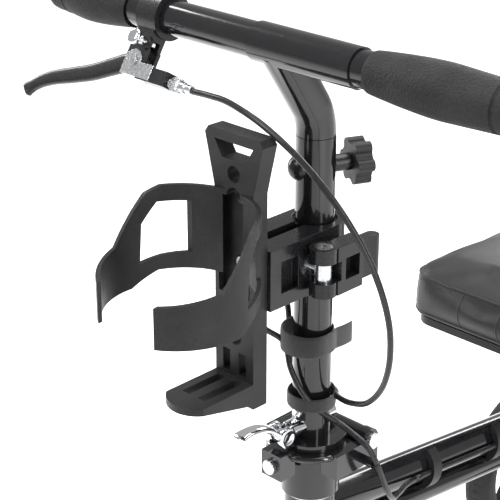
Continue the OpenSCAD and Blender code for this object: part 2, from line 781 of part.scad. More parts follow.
// Side view of the ring's arms: high at the root, falling to the front bands
module arm_outline() {
    r = ring_r + ring_wall;
    polygon([
        [ring_y + r, clamp_z + 71], [ring_y + r, clamp_z + 3], [ring_y + 26, clamp_z + 2],
        [ring_y + 4, clamp_z - 9], [ring_y - r - 1, clamp_z - 9], [ring_y - r - 1, clamp_z + 22],
        [ring_y - 12, clamp_z + 30], [ring_y + 18, clamp_z + 66], [ring_y + 30, clamp_z + 71]
    ]);
}

// Window in each arm, in the same view
module arm_window() {
    polygon([
        [ring_y + 46, clamp_z + 58], [ring_y + 46, clamp_z + 16], [ring_y + 30, clamp_z + 14],
        [ring_y + 12, clamp_z + 10], [ring_y + 14, clamp_z + 42], [ring_y + 26, clamp_z + 58]
    ]);
}

module bottle_cage() {
    neck_z = fold_face_z + 246;
    depth_y = -cage_front;
    face = [
        [-cage_half, cage_low_z], [cage_half, cage_low_z], [cage_half, neck_z], [cage_half + 9.5, cage_top_z - 5],
        [cage_half + 6, cage_top_z], [-cage_half - 6, cage_top_z], [-cage_half - 9.5, cage_top_z - 5],
        [-cage_half, neck_z]
    ];
    loop = [[-12, cage_top_z - 21], [12, cage_top_z - 21], [20, cage_top_z - 8], [-20, cage_top_z - 8]];
    foot = [
        [-cage_back, cage_low_z], [-cage_front - cage_foot_reach, cage_foot_z - 6],
        [-cage_front - cage_foot_reach, cage_foot_z], [-cage_back, cage_foot_z]
    ];
    color(satin_black) at_column() difference() {
        union() {
            translate([0, -cage_back, 0]) rotate([90, 0, 0]) linear_extrude(cage_depth) polygon(face);
            translate([-cage_half, 0, 0]) rotate([90, 0, 90]) linear_extrude(2 * cage_half) polygon(foot);
            translate([0, -cage_front - cage_foot_reach + 14, cage_foot_z - 6])
                intersection() {
                    cylinder(r = 25, h = 6);
                    block([-cage_half, -30, 0], [cage_half, 0, 6]);
                }
            difference() {
                translate([0, ring_y, clamp_z - 20]) tube(ring_r + ring_wall, ring_r, 100);
                block([-ring_gap / 2, ring_y - ring_r - 10, clamp_z - 30], [ring_gap / 2, ring_y - 20, clamp_z + 90]);
                difference() {
                    block([-90, ring_y - 90, clamp_z - 40], [90, ring_y + 90, clamp_z + 100]);
                    translate([-91, 0, 0]) rotate([90, 0, 90]) linear_extrude(182) arm_outline();
                }
                translate([-91, 0, 0]) rotate([90, 0, 90]) linear_extrude(182) arm_window();
            }
        }
        block([-cage_half + 4, depth_y - 1, cage_foot_z + 70], [cage_half - 4, depth_y + 8, cage_top_z - 50]);
        translate([0, -cage_back + 1, 0]) rotate([90, 0, 0]) linear_extrude(cage_depth + 2) polygon(loop);
        translate([0, 0, fold_face_z + 259]) rod_y(6.5, depth_y - 1, -cage_back + 1);
        translate([0, 0, fold_face_z + 241]) rod_y(7.5, depth_y - 1, -cage_back + 1);
        translate([0, 0, cage_screw_z]) {
            rod_y(2.5 + run_gap, depth_y - 1, -cage_back + 1);
            rod_y(5.5, depth_y - 1, depth_y + 11);
        }
        for (z = [fold_face_z + 126.5, fold_face_z + 139.5])
            translate([0, 0, z]) rod_y(7.5, depth_y - 1, -cage_back + 1);
        block([-7.5, depth_y - 1, fold_face_z + 126.5], [7.5, -cage_back + 1, fold_face_z + 139.5]);
        both_sides() {
            block([4.5, depth_y - 1, cage_foot_z + 3], [12.5, -cage_back + 1, cage_foot_z + 22]);
            block([4.5, depth_y - cage_foot_reach + 9, cage_low_z - 1], [12.5, depth_y - 5, cage_foot_z + 1]);
        }
    }
}

module cage_screw() {
    face_y = -cage_front + 11;
    color(silver) at_column() translate([0, 0, cage_screw_z]) difference() {
        union() {
            rod_y(2.5, face_y, -cage_back + 13);
            rod_y(4.8, face_y - 4, face_y);
        }
        translate([0, face_y - 5, 0]) rotate([-90, 0, 0]) cylinder(r = 2.3, h = 3, $fn = 6);
    }
}

// ---------------------------------------------------------------- stem and handlebar

module stem() {
    slot_low = stem_bolt_z - stem_travel - 5;
    color(gloss_black) at_column() difference() {
        union() {
            translate([0, 0, column_top_z - spigot_len]) cylinder(r = spigot_r, h = spigot_len + 1.5);
            translate([0, 0, column_top_z + 0.5]) cylinder(r = column_r, h = 0.6);
            translate([0, -neck_bend_r, neck_start_z]) rotate([90, 0, 90])
                rotate_extrude(angle = neck_lean) translate([neck_bend_r, 0]) circle(column_r);
            translate([0, 0, neck_start_z + neck_tangent]) rotate([neck_lean, 0, 0])
                translate([0, 0, neck_tangent - 0.2]) cylinder(r = column_r, h = neck_slope_len - neck_tangent);
            translate(bar_axis) rod_x(sleeve_r, -19, 80);
        }
        translate([0, 0, column_top_z - spigot_len - 1]) cylinder(r = spigot_r - spigot_wall, h = spigot_len - 4);
        rotate([0, 0, -stem_bolt_turn])
            block([-stem_bolt_r - 0.3, -20, slot_low], [stem_bolt_r + 0.3, 20, stem_bolt_z + 5]);
        translate(bar_axis) rod_x(bar_r + run_gap, -40, 90);
    }
}

module stem_bolt() {
    color(satin_black) at_column() translate([0, 0, stem_bolt_z]) rotate([0, 0, -stem_bolt_turn]) {
        difference() {
            union() {
                rod_y(stem_bolt_r, -column_r - 2, knob_centre + knob_half - 2);
                intersection() {
                    translate([0, -column_r + 4, 0]) sphere(r = 11);
                    rod_y(10, -column_r - 8, -10);
                }
            }
            translate([0, 0, -20]) difference() {
                cylinder(r = column_r + run_gap, h = 40);
                translate([0, 0, 20]) rod_y(stem_bolt_r, -30, 60);
            }
        }
        difference() {
            rod_y(7, 10, knob_centre - knob_half - face_gap);
            rod_y(stem_bolt_r + run_gap, 0, 60);
            translate([0, 0, -20]) cylinder(r = column_r + run_gap, h = 40);
        }
    }
}

module star_knob() {
    color(satin_black) at_column() translate([0, 0, stem_bolt_z]) rotate([0, 0, -stem_bolt_turn])
        translate([0, knob_centre - knob_half, 0]) rotate([-90, 0, 0]) difference() {
            union() {
                cylinder(r = 15, h = 2 * knob_half);
                for (i = [0 : 5]) rotate([0, 0, 60 * i]) translate([14, 0, 0]) cylinder(r = 5, h = 2 * knob_half);
            }
            for (i = [0 : 5]) rotate([0, 0, 60 * i + 30]) translate([19, 0, -1]) cylinder(r = 4.5, h = 20);
            translate([0, 0, -1]) cylinder(r = stem_bolt_r + run_gap, h = 2 * knob_half - 1);
        }
}

module handlebar() {
    color(gloss_black) at_column() translate(bar_axis) difference() {
        rod_x(bar_r, -bar_half, bar_half);
        rod_x(bar_r - bar_wall, -bar_half - 1, bar_half + 1);
    }
}

// Barrel-shaped grip about X, from its inner end at x = 0
module grip(len, peak, ring_at) {
    end_r = grip_end_od / 2;
    peak_r = grip_od / 2;
    color(rubber_black) rotate([0, 90, 0]) rotate_extrude() difference() {
        polygon([
            [0, 0], [end_r - 1, 0], [end_r, 1.5], [end_r + (peak_r - end_r) * 0.55, peak * 0.4],
            [end_r + (peak_r - end_r) * 0.9, peak * 0.75], [peak_r, peak],
            [peak_r - 0.4, peak * 1.2], [peak_r - 1.8, ring_at - 3], [peak_r - 1.8, ring_at + 2],
            [peak_r - 3, ring_at + 4], [end_r + 1.5, len - 8], [end_r - 1, len], [0, len]
        ]);
        translate([-1, -1]) square([bar_r + run_gap + 1, len - 3]);
    }
}

module grip_left() {
    at_column() translate(bar_axis + [grip_left_x, 0, 0]) grip(bar_half + 4 - grip_left_x, 61, 109);
}

module grip_right() {
    at_column() translate(bar_axis - [grip_right_x, 0, 0]) mirror([1, 0, 0])
        grip(bar_half + 4 - grip_right_x, 48, 74);
}

// ---------------------------------------------------------------- brake lever

module brake_perch() {
    top = 0;
    low = lever_z - lever_t / 2 - 4;
    gap_low = lever_z - lever_t / 2 - face_gap;
    gap_high = lever_z + lever_t / 2 + face_gap;
    color(satin_black) at_column() in_lever_frame() difference() {
        union() {
            translate(bar_in_lever) rod_x(bar_r + 5, -11, 11);
            block([-9, 9, low], [9, bar_in_lever.y - bar_r + 2, top]);
            translate([0, 0, low]) cylinder(r = 10, h = top - low);
            block([-10, 0, low], [10, 12, top]);
            block([8, -13, low], [40, -1, top]);
            translate([7, 16, top - 1]) cylinder(r = 5.5, h = 3);
        }
        translate(bar_in_lever) rod_x(bar_r + run_gap, -12, 12);
        block([-21, -16, gap_low], [12, 13, gap_high]);
        translate([0, 0, low - 1]) cylinder(r = 3 + run_gap, h = top - low + 2);
        translate([0, -8, lever_z + 0.5]) rod_x(1.6, 0, 41);
        translate([7, 16, top - 12]) cylinder(r = 3.5 + run_gap, h = 20);
    }
}

module brake_lever() {
    blade = [
        [-4, 8], [-14, 7], [-26, 1], [-40, -8], [-56, -15], [-72, -20], [-88, -24], [-100, -29],
        [-108, -35], [-114, -42], [-116, -47], [-113, -51], [-107, -51], [-99, -45], [-90, -40],
        [-76, -36], [-58, -31], [-40, -24], [-24, -15], [-10, -9.5], [0, -9]
    ];
    color(satin_black) at_column() in_lever_frame() translate([0, 0, lever_z - lever_t / 2]) difference() {
        union() {
            linear_extrude(lever_t) polygon(blade);
            cylinder(r = 9, h = lever_t);
            translate([2, -8, 0]) cylinder(r = 5, h = lever_t);
            translate([-110, -46, 0]) cylinder(r = 6.5, h = lever_t);
        }
        translate([0, 0, -1]) cylinder(r = 3 + run_gap, h = lever_t + 2);
    }
}

module lever_pivot() {
    low = lever_z - lever_t / 2 - 4;
    color(silver) at_column() in_lever_frame() {
        difference() {
            union() {
                translate([0, 0, low - 1]) cylinder(r = 3, h = 2.5 - low);
                translate([0, 0, 1.2]) cylinder(r = 5.5, h = 2.2);
                translate([0, 0, low - 3]) cylinder(r = 5.5, h = 2.9);
            }
            block([-6, -0.6, 2.2], [6, 0.6, 4]);
        }
        difference() {
            union() {
                translate([0, 0, 0.05]) cylinder(r = 9, h = 1.1);
                block([-9, -12, 0.05], [24, 0, 1.15]);
            }
            translate([0, 0, -1]) cylinder(r = 3 + run_gap, h = 4);
        }
    }
}

module park_button() {
    color(chrome) at_column() in_lever_frame() translate([7, 16, -6]) {
        cylinder(r = 3.5, h = 20);
        translate([0, 0, 19.9]) cylinder(r = 6.5, h = 4);
    }
}

module cable_adjuster() {
    color(silver) at_column() in_lever_frame() translate([40, -8, lever_z + 1]) difference() {
        union() {
            rod_x(3.4, 0.05, 8);
            rod_x(5.5, 3, 12);
            rod_x(4, 12, 18);
            rod_x(3.4, 18, 24.5);
        }
        rod_x(1.4, -1, 30);
    }
}

// ---------------------------------------------------------------- cable

module cable_loop() color(rubber_black) at_column() cable_stretch(0, loop_end);
module cable_column() color(rubber_black) at_column() cable_stretch(loop_end, column_end);
module cable_fold() color(rubber_black) at_column() cable_stretch(column_end, fold_end);
module cable_steer() color(rubber_black) at_column() cable_stretch(fold_end, steer_end);
module cable_frame() color(rubber_black) at_column() cable_stretch(steer_end, route_end);

// Saddle clips that hold the cable against the main beam
module cable_clips() {
    x = beam_r + 3.5;
    color(satin_black) at_column() for (y = [150, 250, 460]) translate([0, y, beam_at(y)]) rotate([-atan(beam_slope), 0, 0]) difference() {
        rod_y(beam_r + 7.5, -6, 6);
        rod_y(beam_r + 0.9, -7, 7);
        block([-40, -8, -40], [beam_r - 4, 8, 40]);
        translate([x, 0, 0.6]) rod_y(cable_r + soft_gap, -7, 7);
    }
}

// ---------------------------------------------------------------- knee pad

module knee_pad() {
    r = 26;
    crown = 10;
    color(vinyl_black) at_column() translate([0, pad_front, pad_z]) intersection() {
        linear_extrude(pad_h) offset(r) translate([r - pad_half, r]) square([pad_w - 2 * r, pad_len - 2 * r]);
        translate([0, -1, 0]) rotate([-90, 0, 0]) linear_extrude(pad_len + 2) polygon([
            [-pad_half, 0], [-pad_half, crown - pad_h], [-pad_half + 14, 3 - pad_h], [-pad_half + 50, -pad_h],
            [pad_half - 50, -pad_h], [pad_half - 14, 3 - pad_h], [pad_half, crown - pad_h], [pad_half, 0]
        ]);
    }
}

module pad_board() {
    inset = 8;
    r = 20;
    color(satin_black) at_column() translate([0, pad_front, board_z]) difference() {
        linear_extrude(board_t) offset(r) translate([inset + r - pad_half, inset + r])
            square([pad_w - 2 * (inset + r), pad_len - 2 * (inset + r)]);
        for (x = [-30, 30], y = [-50, 50]) translate([x, post_y - pad_front + y, -1])
            cylinder(r = 3 + run_gap, h = board_t + 2);
    }
}

module seat_post() {
    color(gloss_black) at_column() translate([0, post_y, 0]) {
        difference() {
            union() {
                translate([0, 0, post_low_z]) cylinder(r = post_r, h = post_plate_z - post_low_z + 1);
                block([-42, -64, post_plate_z], [42, 64, post_plate_z + post_plate_t]);
            }
            translate([0, 0, post_low_z - 1]) cylinder(r = post_r - 2.5, h = post_plate_z - post_low_z - 3);
            for (x = [-30, 30], y = [-50, 50]) translate([x, y, post_plate_z - 1])
                cylinder(r = 3 + run_gap, h = post_plate_t + 2);
        }
        for (x = [-30, 30], y = [-50, 50]) translate([x, y, 0]) {
            translate([0, 0, post_plate_z - 3]) cylinder(r = 3, h = board_t + post_plate_t + 2);
            translate([0, 0, post_plate_z - 4]) cylinder(r = 5.5, h = 4);
        }
    }
}

module seat_knob() {
    boss = post_r + 12;
    color(satin_black) at_column() translate([0, post_y, seat_bolt_z]) {
        rod_x(4, post_r + 1, boss + 4);
        translate([boss + face_gap, 0, 0]) rotate([0, 90, 0]) {
            cylinder(r = 14, h = 14);
            for (i = [0 : 5]) rotate([0, 0, 60 * i]) translate([13, 0, 0]) cylinder(r = 4.5, h = 14);
        }
    }
}

// ---------------------------------------------------------------- drum brake

module brake_drum() {
    inner = wheel_x - hub_half;
    color(silver) at_column() translate([0, rear_y, axle_z]) difference() {
        rod_x(drum_r + drum_wall, drum_in_x + backplate_t + 0.7, inner + 3);
        rod_x(drum_r, drum_in_x, inner);
        rod_x(18 + run_gap, drum_in_x, inner + 4);
    }
}

module brake_backplate() {
    stop_y = 553 - rear_y;
    color(silver) at_column() translate([0, rear_y, axle_z]) difference() {
        union() {
            rod_x(drum_r + drum_wall - 1, drum_in_x + 0.1, drum_in_x + backplate_t);
            block([114, stop_y - 2, 20], [drum_in_x + backplate_t, stop_y + 2, 53]);
        }
        rod_x(axle_r + run_gap, drum_in_x - 1, drum_in_x + 5);
        translate([0, brake_cam_y - rear_y, 0]) rod_x(4 + run_gap, drum_in_x - 1, drum_in_x + 5);
        translate([121, 0, 45]) rod_y(1.5, stop_y - 3, stop_y + 3);
    }
}

module brake_shoes() {
    color(satin_black) at_column() translate([drum_in_x + backplate_t + 1.5, rear_y, axle_z])
        difference() {
            rod_x(drum_r - 1, 0, 12);
            rod_x(drum_r - 9, -1, 13);
            block([-1, -60, -6.5], [13, 60, 6.5]);
        }
}

module brake_arm() {
    color(silver) at_column() translate([drum_in_x - 9, brake_cam_y, axle_z]) difference() {
        union() {
            rod_x(4, 0, backplate_t + 18);
            rod_x(8, 0, 5);
            block([0, -6, 0], [5, 6, brake_arm_len]);
            translate([0, 0, brake_arm_len]) rod_x(6, 0, 5);
            block([backplate_t + 11, -4.5, -5], [backplate_t + 18, 4.5, 5]);
        }
        translate([0, 0, brake_arm_len]) rod_x(2, -1, 6);
    }
}

main_frame();
head_bearings();
steerer();
pitman_arm();
fold_bolt();
column_tube();
column_foot();
fold_skewer();
fold_lever();
snap_button();
lower_strap();
upper_strap();
cage_clamp();
clamp_liner();
clamp_bolt();
clamp_lever();
bottle_cage();
cage_screw();
stem();
stem_bolt();
star_knob();
handlebar();
grip_left();
grip_right();
brake_perch();
brake_lever();
lever_pivot();
park_button();
cable_adjuster();
cable_loop();
cable_column();
cable_fold();
cable_steer();
cable_frame();
cable_clips();
knee_pad();
pad_board();
seat_post();
seat_knob();
knuckle_left();
knuckle_right();
knuckle_nuts_left();
knuckle_nuts_right();
tie_rod_left();
tie_rod_right();
rim_front_left();
rim_front_right();
rim_rear_left();
rim_rear_right();
tyre_front_left();
tyre_front_right();
tyre_rear_left();
tyre_rear_right();
rear_axle();
brake_drum();
brake_backplate();
brake_shoes();
brake_arm();
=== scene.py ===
"""Looks of a black folding knee scooter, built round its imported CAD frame.

Lengths are metres. +Z is up, -Y is forwards and +X is the rider's left, as in the CAD model.
"""
import json
import logging
import math
from dataclasses import dataclass, field
from enum import Enum
from typing import Callable, Sequence

import bmesh
import bpy
import numpy as np
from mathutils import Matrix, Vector
from mathutils.bvhtree import BVHTree


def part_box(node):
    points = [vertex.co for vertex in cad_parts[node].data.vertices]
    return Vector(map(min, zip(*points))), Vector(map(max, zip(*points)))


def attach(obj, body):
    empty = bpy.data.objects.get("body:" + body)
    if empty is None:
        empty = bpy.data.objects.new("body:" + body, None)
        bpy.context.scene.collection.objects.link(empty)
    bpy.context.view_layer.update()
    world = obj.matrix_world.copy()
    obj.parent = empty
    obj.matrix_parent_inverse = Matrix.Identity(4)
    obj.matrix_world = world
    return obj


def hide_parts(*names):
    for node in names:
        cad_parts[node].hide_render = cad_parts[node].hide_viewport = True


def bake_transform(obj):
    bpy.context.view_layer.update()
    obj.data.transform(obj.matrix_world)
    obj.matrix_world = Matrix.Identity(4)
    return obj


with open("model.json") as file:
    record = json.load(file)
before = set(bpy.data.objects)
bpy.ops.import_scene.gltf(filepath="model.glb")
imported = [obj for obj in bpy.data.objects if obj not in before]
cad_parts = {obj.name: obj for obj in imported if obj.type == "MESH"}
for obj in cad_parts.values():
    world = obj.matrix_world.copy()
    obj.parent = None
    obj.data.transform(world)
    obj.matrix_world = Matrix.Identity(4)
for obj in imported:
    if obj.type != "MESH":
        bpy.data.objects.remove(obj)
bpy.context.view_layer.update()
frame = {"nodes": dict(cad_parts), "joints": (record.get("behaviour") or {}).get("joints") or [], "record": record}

Array = np.ndarray
Node = bpy.types.Node
Material = bpy.types.Material
MeshObject = bpy.types.Object
Point = tuple[float, float, float]

MM = 0.001
LOG = logging.getLogger("knee_scooter")


# ---------------------------------------------------------------- finishes


class Grain(Enum):
    """How a finish's surface is textured."""

    PAINT = "paint"
    MOULDED = "moulded"
    DIMPLED = "dimpled"
    WOVEN = "woven"
    HOOKS = "hooks"
    LEATHER = "leather"
    BRUSHED = "brushed"
    POLISHED = "polished"
    CAST = "cast"
    TREAD = "tread"
    SHEATH = "sheath"
    THREAD = "thread"


@dataclass(frozen=True)
class Finish:
    """One material of the scooter.

    The base colour drifts slowly to second_color, the roughness drifts by rough_drift,
    and a bump of the grain's own pattern lies over both.
    """

    name: str
    color: tuple[float, float, float]
    second_color: tuple[float, float, float]
    roughness: float
    rough_drift: float = 0.05
    metallic: float = 0.0
    coat: float = 0.0
    coat_roughness: float = 0.05
    sheen: float = 0.0
    specular: float = 0.5
    grain: Grain = Grain.PAINT
    pattern_scale: float = 800.0
    bump_depth: float = 0.0001
    bump_strength: float = 0.3

    def build(self) -> Material:
        """Makes the Blender material.

        Returns:
            The finished node material.
        """
        material = bpy.data.materials.new(self.name)
        material.use_nodes = True
        tree = material.node_tree
        shader = next(n for n in tree.nodes if n.type == "BSDF_PRINCIPLED")
        shader.inputs["Metallic"].default_value = self.metallic
        shader.inputs["Specular IOR Level"].default_value = self.specular
        shader.inputs["Coat Weight"].default_value = self.coat
        shader.inputs["Coat Roughness"].default_value = self.coat_roughness
        shader.inputs["Sheen Weight"].default_value = self.sheen
        shader.inputs["Sheen Roughness"].default_value = 0.5
        graph = Graph(tree)
        place = graph.place()
        drift = graph.noise(place, scale=38.0, detail=4.0)
        fine = graph.noise(place, scale=420.0, detail=5.0)
        blend = graph.maths("MULTIPLY", drift, fine)
        color = graph.mix_color(blend, self.color, self.second_color)
        tree.links.new(color, shader.inputs["Base Color"])
        rough = graph.spread(fine, self.roughness - self.rough_drift, self.roughness + self.rough_drift)
        tree.links.new(rough, shader.inputs["Roughness"])
        height = GRAIN_PATTERNS[self.grain](graph, place, self.pattern_scale)
        normal = graph.bump(height, self.bump_depth, self.bump_strength)
        tree.links.new(normal, shader.inputs["Normal"])
        return material


@dataclass
class Graph:
    """Short forms for wiring a material's nodes."""

    tree: bpy.types.NodeTree

    def add(self, kind: str) -> Node:
        """Adds one node of a kind."""
        return self.tree.nodes.new(kind)

    def link(self, source: bpy.types.NodeSocket, node: Node, socket: str | int) -> None:
        """Links an output to a node's input."""
        self.tree.links.new(source, node.inputs[socket])

    def place(self) -> bpy.types.NodeSocket:
        """The object coordinates, which don't move with the camera or the pose."""
        return self.add("ShaderNodeTexCoord").outputs["Object"]

    def stretched(self, place: bpy.types.NodeSocket, scale: Point) -> bpy.types.NodeSocket:
        """The coordinates stretched by a factor along each axis."""
        mapping = self.add("ShaderNodeMapping")
        mapping.inputs["Scale"].default_value = scale
        self.link(place, mapping, "Vector")
        return mapping.outputs["Vector"]

    def noise(self, place: bpy.types.NodeSocket, scale: float, detail: float = 3.0) -> bpy.types.NodeSocket:
        """Cloudy noise from 0 to 1."""
        node = self.add("ShaderNodeTexNoise")
        node.inputs["Scale"].default_value = scale
        node.inputs["Detail"].default_value = detail
        self.link(place, node, "Vector")
        return node.outputs["Fac"]

    def cells(self, place: bpy.types.NodeSocket, scale: float, feature: str = "F1") -> bpy.types.NodeSocket:
        """Distance field of scattered cells."""
        node = self.add("ShaderNodeTexVoronoi")
        node.feature = feature
        node.inputs["Scale"].default_value = scale
        self.link(place, node, "Vector")
        return node.outputs["Distance"]

    def waves(self, place: bpy.types.NodeSocket, scale: float, direction: str) -> bpy.types.NodeSocket:
        """Even bands across one direction."""
        node = self.add("ShaderNodeTexWave")
        node.bands_direction = direction
        node.inputs["Scale"].default_value = scale
        self.link(place, node, "Vector")
        return node.outputs["Fac"]

    def maths(self, operation: str, a: bpy.types.NodeSocket, b: bpy.types.NodeSocket | float) -> bpy.types.NodeSocket:
        """One maths operation on two values."""
        node = self.add("ShaderNodeMath")
        node.operation = operation
        self.link(a, node, 0)
        if isinstance(b, float):
            node.inputs[1].default_value = b
        else:
            self.link(b, node, 1)
        return node.outputs["Value"]

    def spread(self, value: bpy.types.NodeSocket, low: float, high: float) -> bpy.types.NodeSocket:
        """A value from 0.3 to 0.7 spread over a range."""
        node = self.add("ShaderNodeMapRange")
        node.inputs["From Min"].default_value = 0.3
        node.inputs["From Max"].default_value = 0.7
        node.inputs["To Min"].default_value = max(low, 0.0)
        node.inputs["To Max"].default_value = min(high, 1.0)
        self.link(value, node, "Value")
        return node.outputs["Result"]

    def mix_color(
        self, factor: bpy.types.NodeSocket, a: tuple[float, float, float], b: tuple[float, float, float]
    ) -> bpy.types.NodeSocket:
        """A colour between two, by a factor that is mostly from 0.1 to 0.4."""
        node = self.add("ShaderNodeValToRGB")
        node.color_ramp.elements[0].position = 0.12
        node.color_ramp.elements[1].position = 0.42
        node.color_ramp.elements[0].color = (*a, 1.0)
        node.color_ramp.elements[1].color = (*b, 1.0)
        self.link(factor, node, "Fac")
        return node.outputs["Color"]

    def bump(self, height: bpy.types.NodeSocket, depth: float, strength: float) -> bpy.types.NodeSocket:
        """Turns a height into a surface normal."""
        node = self.add("ShaderNodeBump")
        node.inputs["Distance"].default_value = depth
        node.inputs["Strength"].default_value = strength
        self.link(height, node, "Height")
        return node.outputs["Normal"]


def paint_height(graph: Graph, place: bpy.types.NodeSocket, scale: float) -> bpy.types.NodeSocket:
    """Slow ripple of sprayed paint."""
    return graph.noise(place, scale, 1.5)


def moulded_height(graph: Graph, place: bpy.types.NodeSocket, scale: float) -> bpy.types.NodeSocket:
    """Fine spark-eroded texture of moulded plastic."""
    return graph.maths("ADD", graph.noise(place, scale, 6.0), graph.cells(place, scale * 1.6))


def dimpled_height(graph: Graph, place: bpy.types.NodeSocket, scale: float) -> bpy.types.NodeSocket:
    """Small round dimples, close together."""
    return graph.cells(place, scale, "SMOOTH_F1")


def woven_height(graph: Graph, place: bpy.types.NodeSocket, scale: float) -> bpy.types.NodeSocket:
    """Over-and-under ribs from two crossing waves."""
    along = graph.waves(place, scale, "DIAGONAL")
    up = graph.waves(place, scale, "Z")
    return graph.maths("MAXIMUM", along, up)


def hooks_height(graph: Graph, place: bpy.types.NodeSocket, scale: float) -> bpy.types.NodeSocket:
    """Fuzzy loops of hook-and-loop tape."""
    return graph.maths("ADD", graph.cells(place, scale), graph.noise(place, scale * 2.2, 8.0))


def leather_height(graph: Graph, place: bpy.types.NodeSocket, scale: float) -> bpy.types.NodeSocket:
    """Pebbled cells with fine creases."""
    creases = graph.cells(place, scale, "DISTANCE_TO_EDGE")
    return graph.maths("ADD", graph.maths("POWER", creases, 0.4), graph.noise(place, scale * 0.35, 6.0))


def brushed_height(graph: Graph, place: bpy.types.NodeSocket, scale: float) -> bpy.types.NodeSocket:
    """Long scratches along X."""
    return graph.noise(graph.stretched(place, (0.06, 1.0, 1.0)), scale, 6.0)


def tread_height(graph: Graph, place: bpy.types.NodeSocket, scale: float) -> bpy.types.NodeSocket:
    """Worn rubber with small pits."""
    return graph.maths("ADD", graph.noise(place, scale, 8.0), graph.cells(place, scale * 0.5))


def thread_height(graph: Graph, place: bpy.types.NodeSocket, scale: float) -> bpy.types.NodeSocket:
    """Twisted strands of sewing thread."""
    return graph.waves(place, scale, "DIAGONAL")


GRAIN_PATTERNS: dict[Grain, Callable[[Graph, bpy.types.NodeSocket, float], bpy.types.NodeSocket]] = {
    Grain.PAINT: paint_height,
    Grain.MOULDED: moulded_height,
    Grain.DIMPLED: dimpled_height,
    Grain.WOVEN: woven_height,
    Grain.HOOKS: hooks_height,
    Grain.LEATHER: leather_height,
    Grain.BRUSHED: brushed_height,
    Grain.POLISHED: paint_height,
    Grain.CAST: moulded_height,
    Grain.TREAD: tread_height,
    Grain.SHEATH: paint_height,
    Grain.THREAD: thread_height,
}

FINISHES: tuple[Finish, ...] = (
    Finish("gloss_black_paint", (0.006, 0.006, 0.007), (0.010, 0.010, 0.011), 0.16, 0.03, coat=0.45,
           coat_roughness=0.04, specular=0.3, pattern_scale=160.0, bump_depth=0.0001, bump_strength=0.06),
    Finish("satin_black_paint", (0.008, 0.008, 0.009), (0.013, 0.013, 0.014), 0.3, 0.05, coat=0.25,
           coat_roughness=0.2, specular=0.25, pattern_scale=1500.0, bump_depth=0.0001, bump_strength=0.18),
    Finish("black_plastic", (0.009, 0.009, 0.010), (0.018, 0.018, 0.019), 0.42, 0.07,
           specular=0.22, grain=Grain.MOULDED, pattern_scale=1900.0, bump_depth=0.00012, bump_strength=0.35),
    Finish("shiny_black_plastic", (0.008, 0.008, 0.009), (0.013, 0.013, 0.014), 0.24, 0.05,
           specular=0.3, grain=Grain.MOULDED, pattern_scale=1500.0, bump_depth=0.0001, bump_strength=0.12),
    Finish("grip_rubber", (0.012, 0.012, 0.013), (0.024, 0.024, 0.025), 0.62, 0.06,
           specular=0.16, grain=Grain.DIMPLED, pattern_scale=620.0, bump_depth=0.0007, bump_strength=0.9),
    Finish("smooth_rubber", (0.010, 0.010, 0.011), (0.020, 0.020, 0.020), 0.55, 0.06,
           specular=0.16, grain=Grain.TREAD, pattern_scale=900.0, bump_depth=0.0002, bump_strength=0.3),
    Finish("strap_loops", (0.010, 0.010, 0.011), (0.026, 0.026, 0.028), 0.9, 0.05,
           sheen=0.4, specular=0.1, grain=Grain.HOOKS, pattern_scale=1300.0, bump_depth=0.0006, bump_strength=0.9),
    Finish("cable_sheath", (0.009, 0.009, 0.010), (0.016, 0.016, 0.017), 0.3, 0.05, specular=0.3, grain=Grain.SHEATH,
           pattern_scale=700.0, bump_depth=0.0001, bump_strength=0.12),
    Finish("tyre_rubber", (0.014, 0.014, 0.014), (0.032, 0.031, 0.030), 0.7, 0.08, specular=0.2, grain=Grain.TREAD,
           pattern_scale=700.0, bump_depth=0.0004, bump_strength=0.5),
    Finish("black_vinyl", (0.009, 0.009, 0.010), (0.017, 0.017, 0.018), 0.40, 0.06, sheen=0.05,
           specular=0.28, grain=Grain.LEATHER, pattern_scale=620.0, bump_depth=0.00035, bump_strength=0.45),
    Finish("black_thread", (0.012, 0.012, 0.013), (0.03, 0.03, 0.03), 0.7, 0.06,
           sheen=0.2, specular=0.2, grain=Grain.THREAD, pattern_scale=2600.0, bump_depth=0.0002, bump_strength=0.6),
    Finish("chrome_plate", (0.78, 0.79, 0.81), (0.70, 0.71, 0.73), 0.09, 0.03, metallic=1.0,
           grain=Grain.POLISHED, pattern_scale=300.0, bump_depth=0.0001, bump_strength=0.06),
    Finish("brushed_steel", (0.60, 0.61, 0.63), (0.48, 0.49, 0.50), 0.26, 0.07, metallic=1.0,
           grain=Grain.BRUSHED, pattern_scale=1400.0, bump_depth=0.0001, bump_strength=0.2),
    Finish("cast_alloy", (0.50, 0.51, 0.52), (0.38, 0.38, 0.39), 0.38, 0.08, metallic=1.0, grain=Grain.CAST,
           pattern_scale=1100.0, bump_depth=0.0002, bump_strength=0.35),
    Finish("stage_white", (0.93, 0.93, 0.93), (0.90, 0.90, 0.90), 0.9, 0.02, pattern_scale=30.0,
           bump_depth=0.0001, bump_strength=0.02),
)


@dataclass
class Wardrobe:
    """Every finish by its name, built once."""

    made: dict[str, Material] = field(default_factory=dict)

    def __post_init__(self) -> None:
        """Builds the materials."""
        for finish in FINISHES:
            self.made[finish.name] = finish.build()

    def dress(self, piece: MeshObject, finish: str) -> MeshObject:
        """Puts one finish on every slot of a piece.

        Args:
            piece: The object to dress.
            finish: The finish's name.

        Returns:
            The same piece.
        """
        data = piece.data
        if not data.materials:
            data.materials.append(self.made[finish])
        for i in range(len(data.materials)):
            data.materials[i] = self.made[finish]
        return piece


# ---------------------------------------------------------------- surfaces


